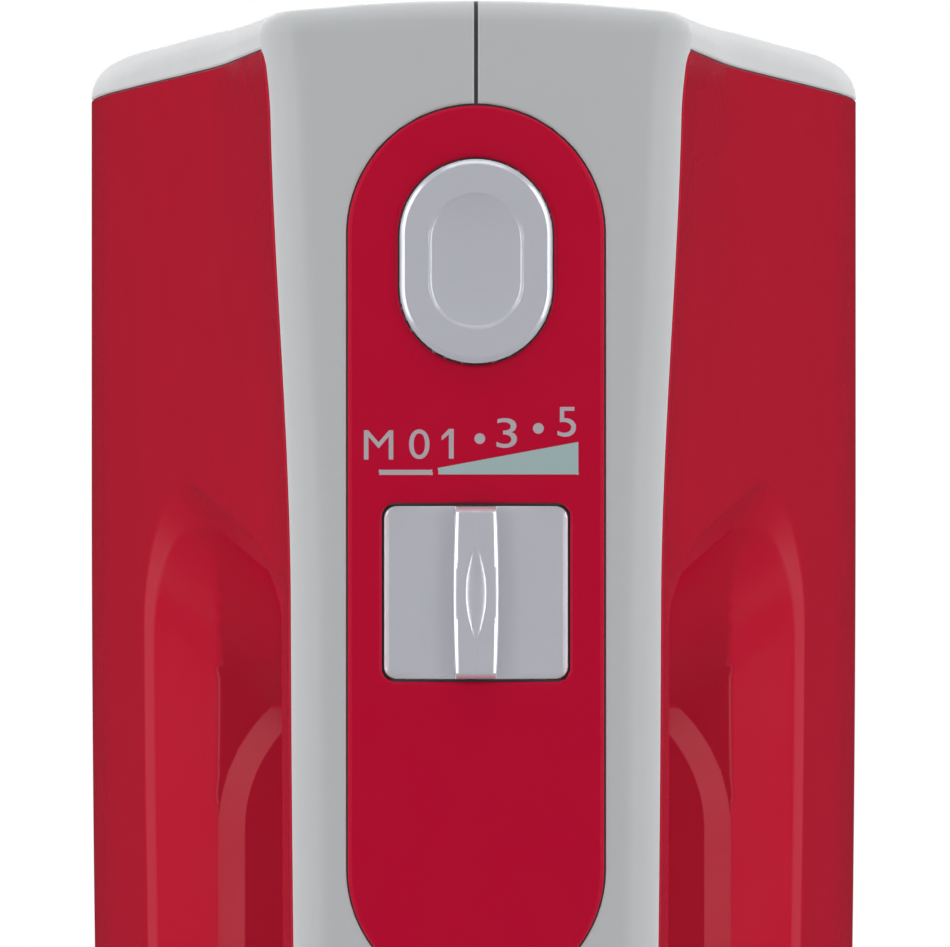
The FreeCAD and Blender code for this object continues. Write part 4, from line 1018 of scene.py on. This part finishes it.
def area_light(name, place, size, power, mirrored_too=True, shadow=True):
    """A soft box in metres and watts. A fill may be left out of reflections, or cast no shadow."""
    light = bpy.data.lights.new(name, "AREA")
    light.shape = "RECTANGLE"
    light.size, light.size_y = size
    light.energy = power
    light.use_shadow = shadow
    obj = bpy.data.objects.new(name, light)
    obj.location = place
    direction = Vector(MIDDLE) - Vector(place)
    obj.rotation_euler = direction.to_track_quat("-Z", "Y").to_euler()
    obj.visible_glossy = mirrored_too
    bpy.context.scene.collection.objects.link(obj)


def make_world():
    """White as the camera sees it, soft as a light, and dim in reflections."""
    scene = bpy.context.scene
    scene.view_settings.view_transform = "Standard"
    world = bpy.data.worlds.new("studio")
    scene.world = world
    world.use_nodes = True
    tree = world.node_tree
    cool_white = (0.97, 0.98, 1.0, 1)
    plain = tree.nodes["Background"]
    plain.inputs["Color"].default_value = cool_white
    plain.inputs["Strength"].default_value = 0.28
    dim = tree.nodes.new("ShaderNodeBackground")
    dim.inputs["Color"].default_value = cool_white
    dim.inputs["Strength"].default_value = 0.03
    seen = tree.nodes.new("ShaderNodeBackground")
    seen.inputs["Color"].default_value = (1, 1, 1, 1)
    path = tree.nodes.new("ShaderNodeLightPath")
    gloss_mix = tree.nodes.new("ShaderNodeMixShader")
    camera_mix = tree.nodes.new("ShaderNodeMixShader")
    tree.links.new(path.outputs["Is Glossy Ray"], gloss_mix.inputs["Fac"])
    tree.links.new(plain.outputs[0], gloss_mix.inputs[1])
    tree.links.new(dim.outputs[0], gloss_mix.inputs[2])
    tree.links.new(path.outputs["Is Camera Ray"], camera_mix.inputs["Fac"])
    tree.links.new(gloss_mix.outputs[0], camera_mix.inputs[1])
    tree.links.new(seen.outputs[0], camera_mix.inputs[2])
    tree.links.new(camera_mix.outputs[0], tree.nodes["World Output"].inputs["Surface"])


def make_floor():
    material = surface("floor_paper", (0.80, 0.80, 0.80), 0.8, grain=300, grain_depth=1e-5, mottle=0.01)
    mesh = bpy.data.meshes.new("floor")
    reach = 1.2
    ring = [(reach * math.cos(a), reach * math.sin(a), 0) for a in np.linspace(0, 2 * math.pi, 97)[:-1]]
    mesh.from_pydata(ring, [], [list(range(len(ring)))])
    mesh.materials.append(material)
    floor = bpy.data.objects.new("floor", mesh)
    bpy.context.scene.collection.objects.link(floor)
    floor.visible_glossy = False


def make_lights():
    unseen = {"mirrored_too": False, "shadow": False}
    for name, side in (("left", -1), ("right", 1)):
        area_light(f"{name}_rear_strip", (0.9 * side, 0.5, 0.25), (0.35, 0.9), 0.5)
        area_light(f"{name}_front_box", (0.75 * side, -0.85, 0.3), (0.3, 0.9), 2.0)
        area_light(f"{name}_side_fill", (1.3 * side, -0.2, 0.4), (0.8, 0.8), 9, **unseen)
    area_light("overhead", (0, 0.1, 1.1), (0.9, 0.7), 0.8)
    area_light("overhead_fill", (0, -0.25, 1.3), (1.2, 0.8), 8, mirrored_too=False)
    area_light("front_fill", (0, -1.6, 0.5), (1.0, 0.8), 2.2, **unseen)
    area_light("rear_top", (0, 0.95, 0.95), (1.6, 0.7), 5)
    area_light("back_box", (0, 1.5, 0.5), (0.35, 1.0), 2.5)
    area_light("low_fill", (0, -1.1, -0.25), (1.0, 0.5), 1.2, **unseen)
    area_light("front_top", (0, -0.9, 1.05), (0.9, 0.25), 0.8)


make_camera()
make_world()
make_floor()
make_lights()
make_skins()
make_panel()
make_button()
make_eject_spring()
make_slide()
make_scale()
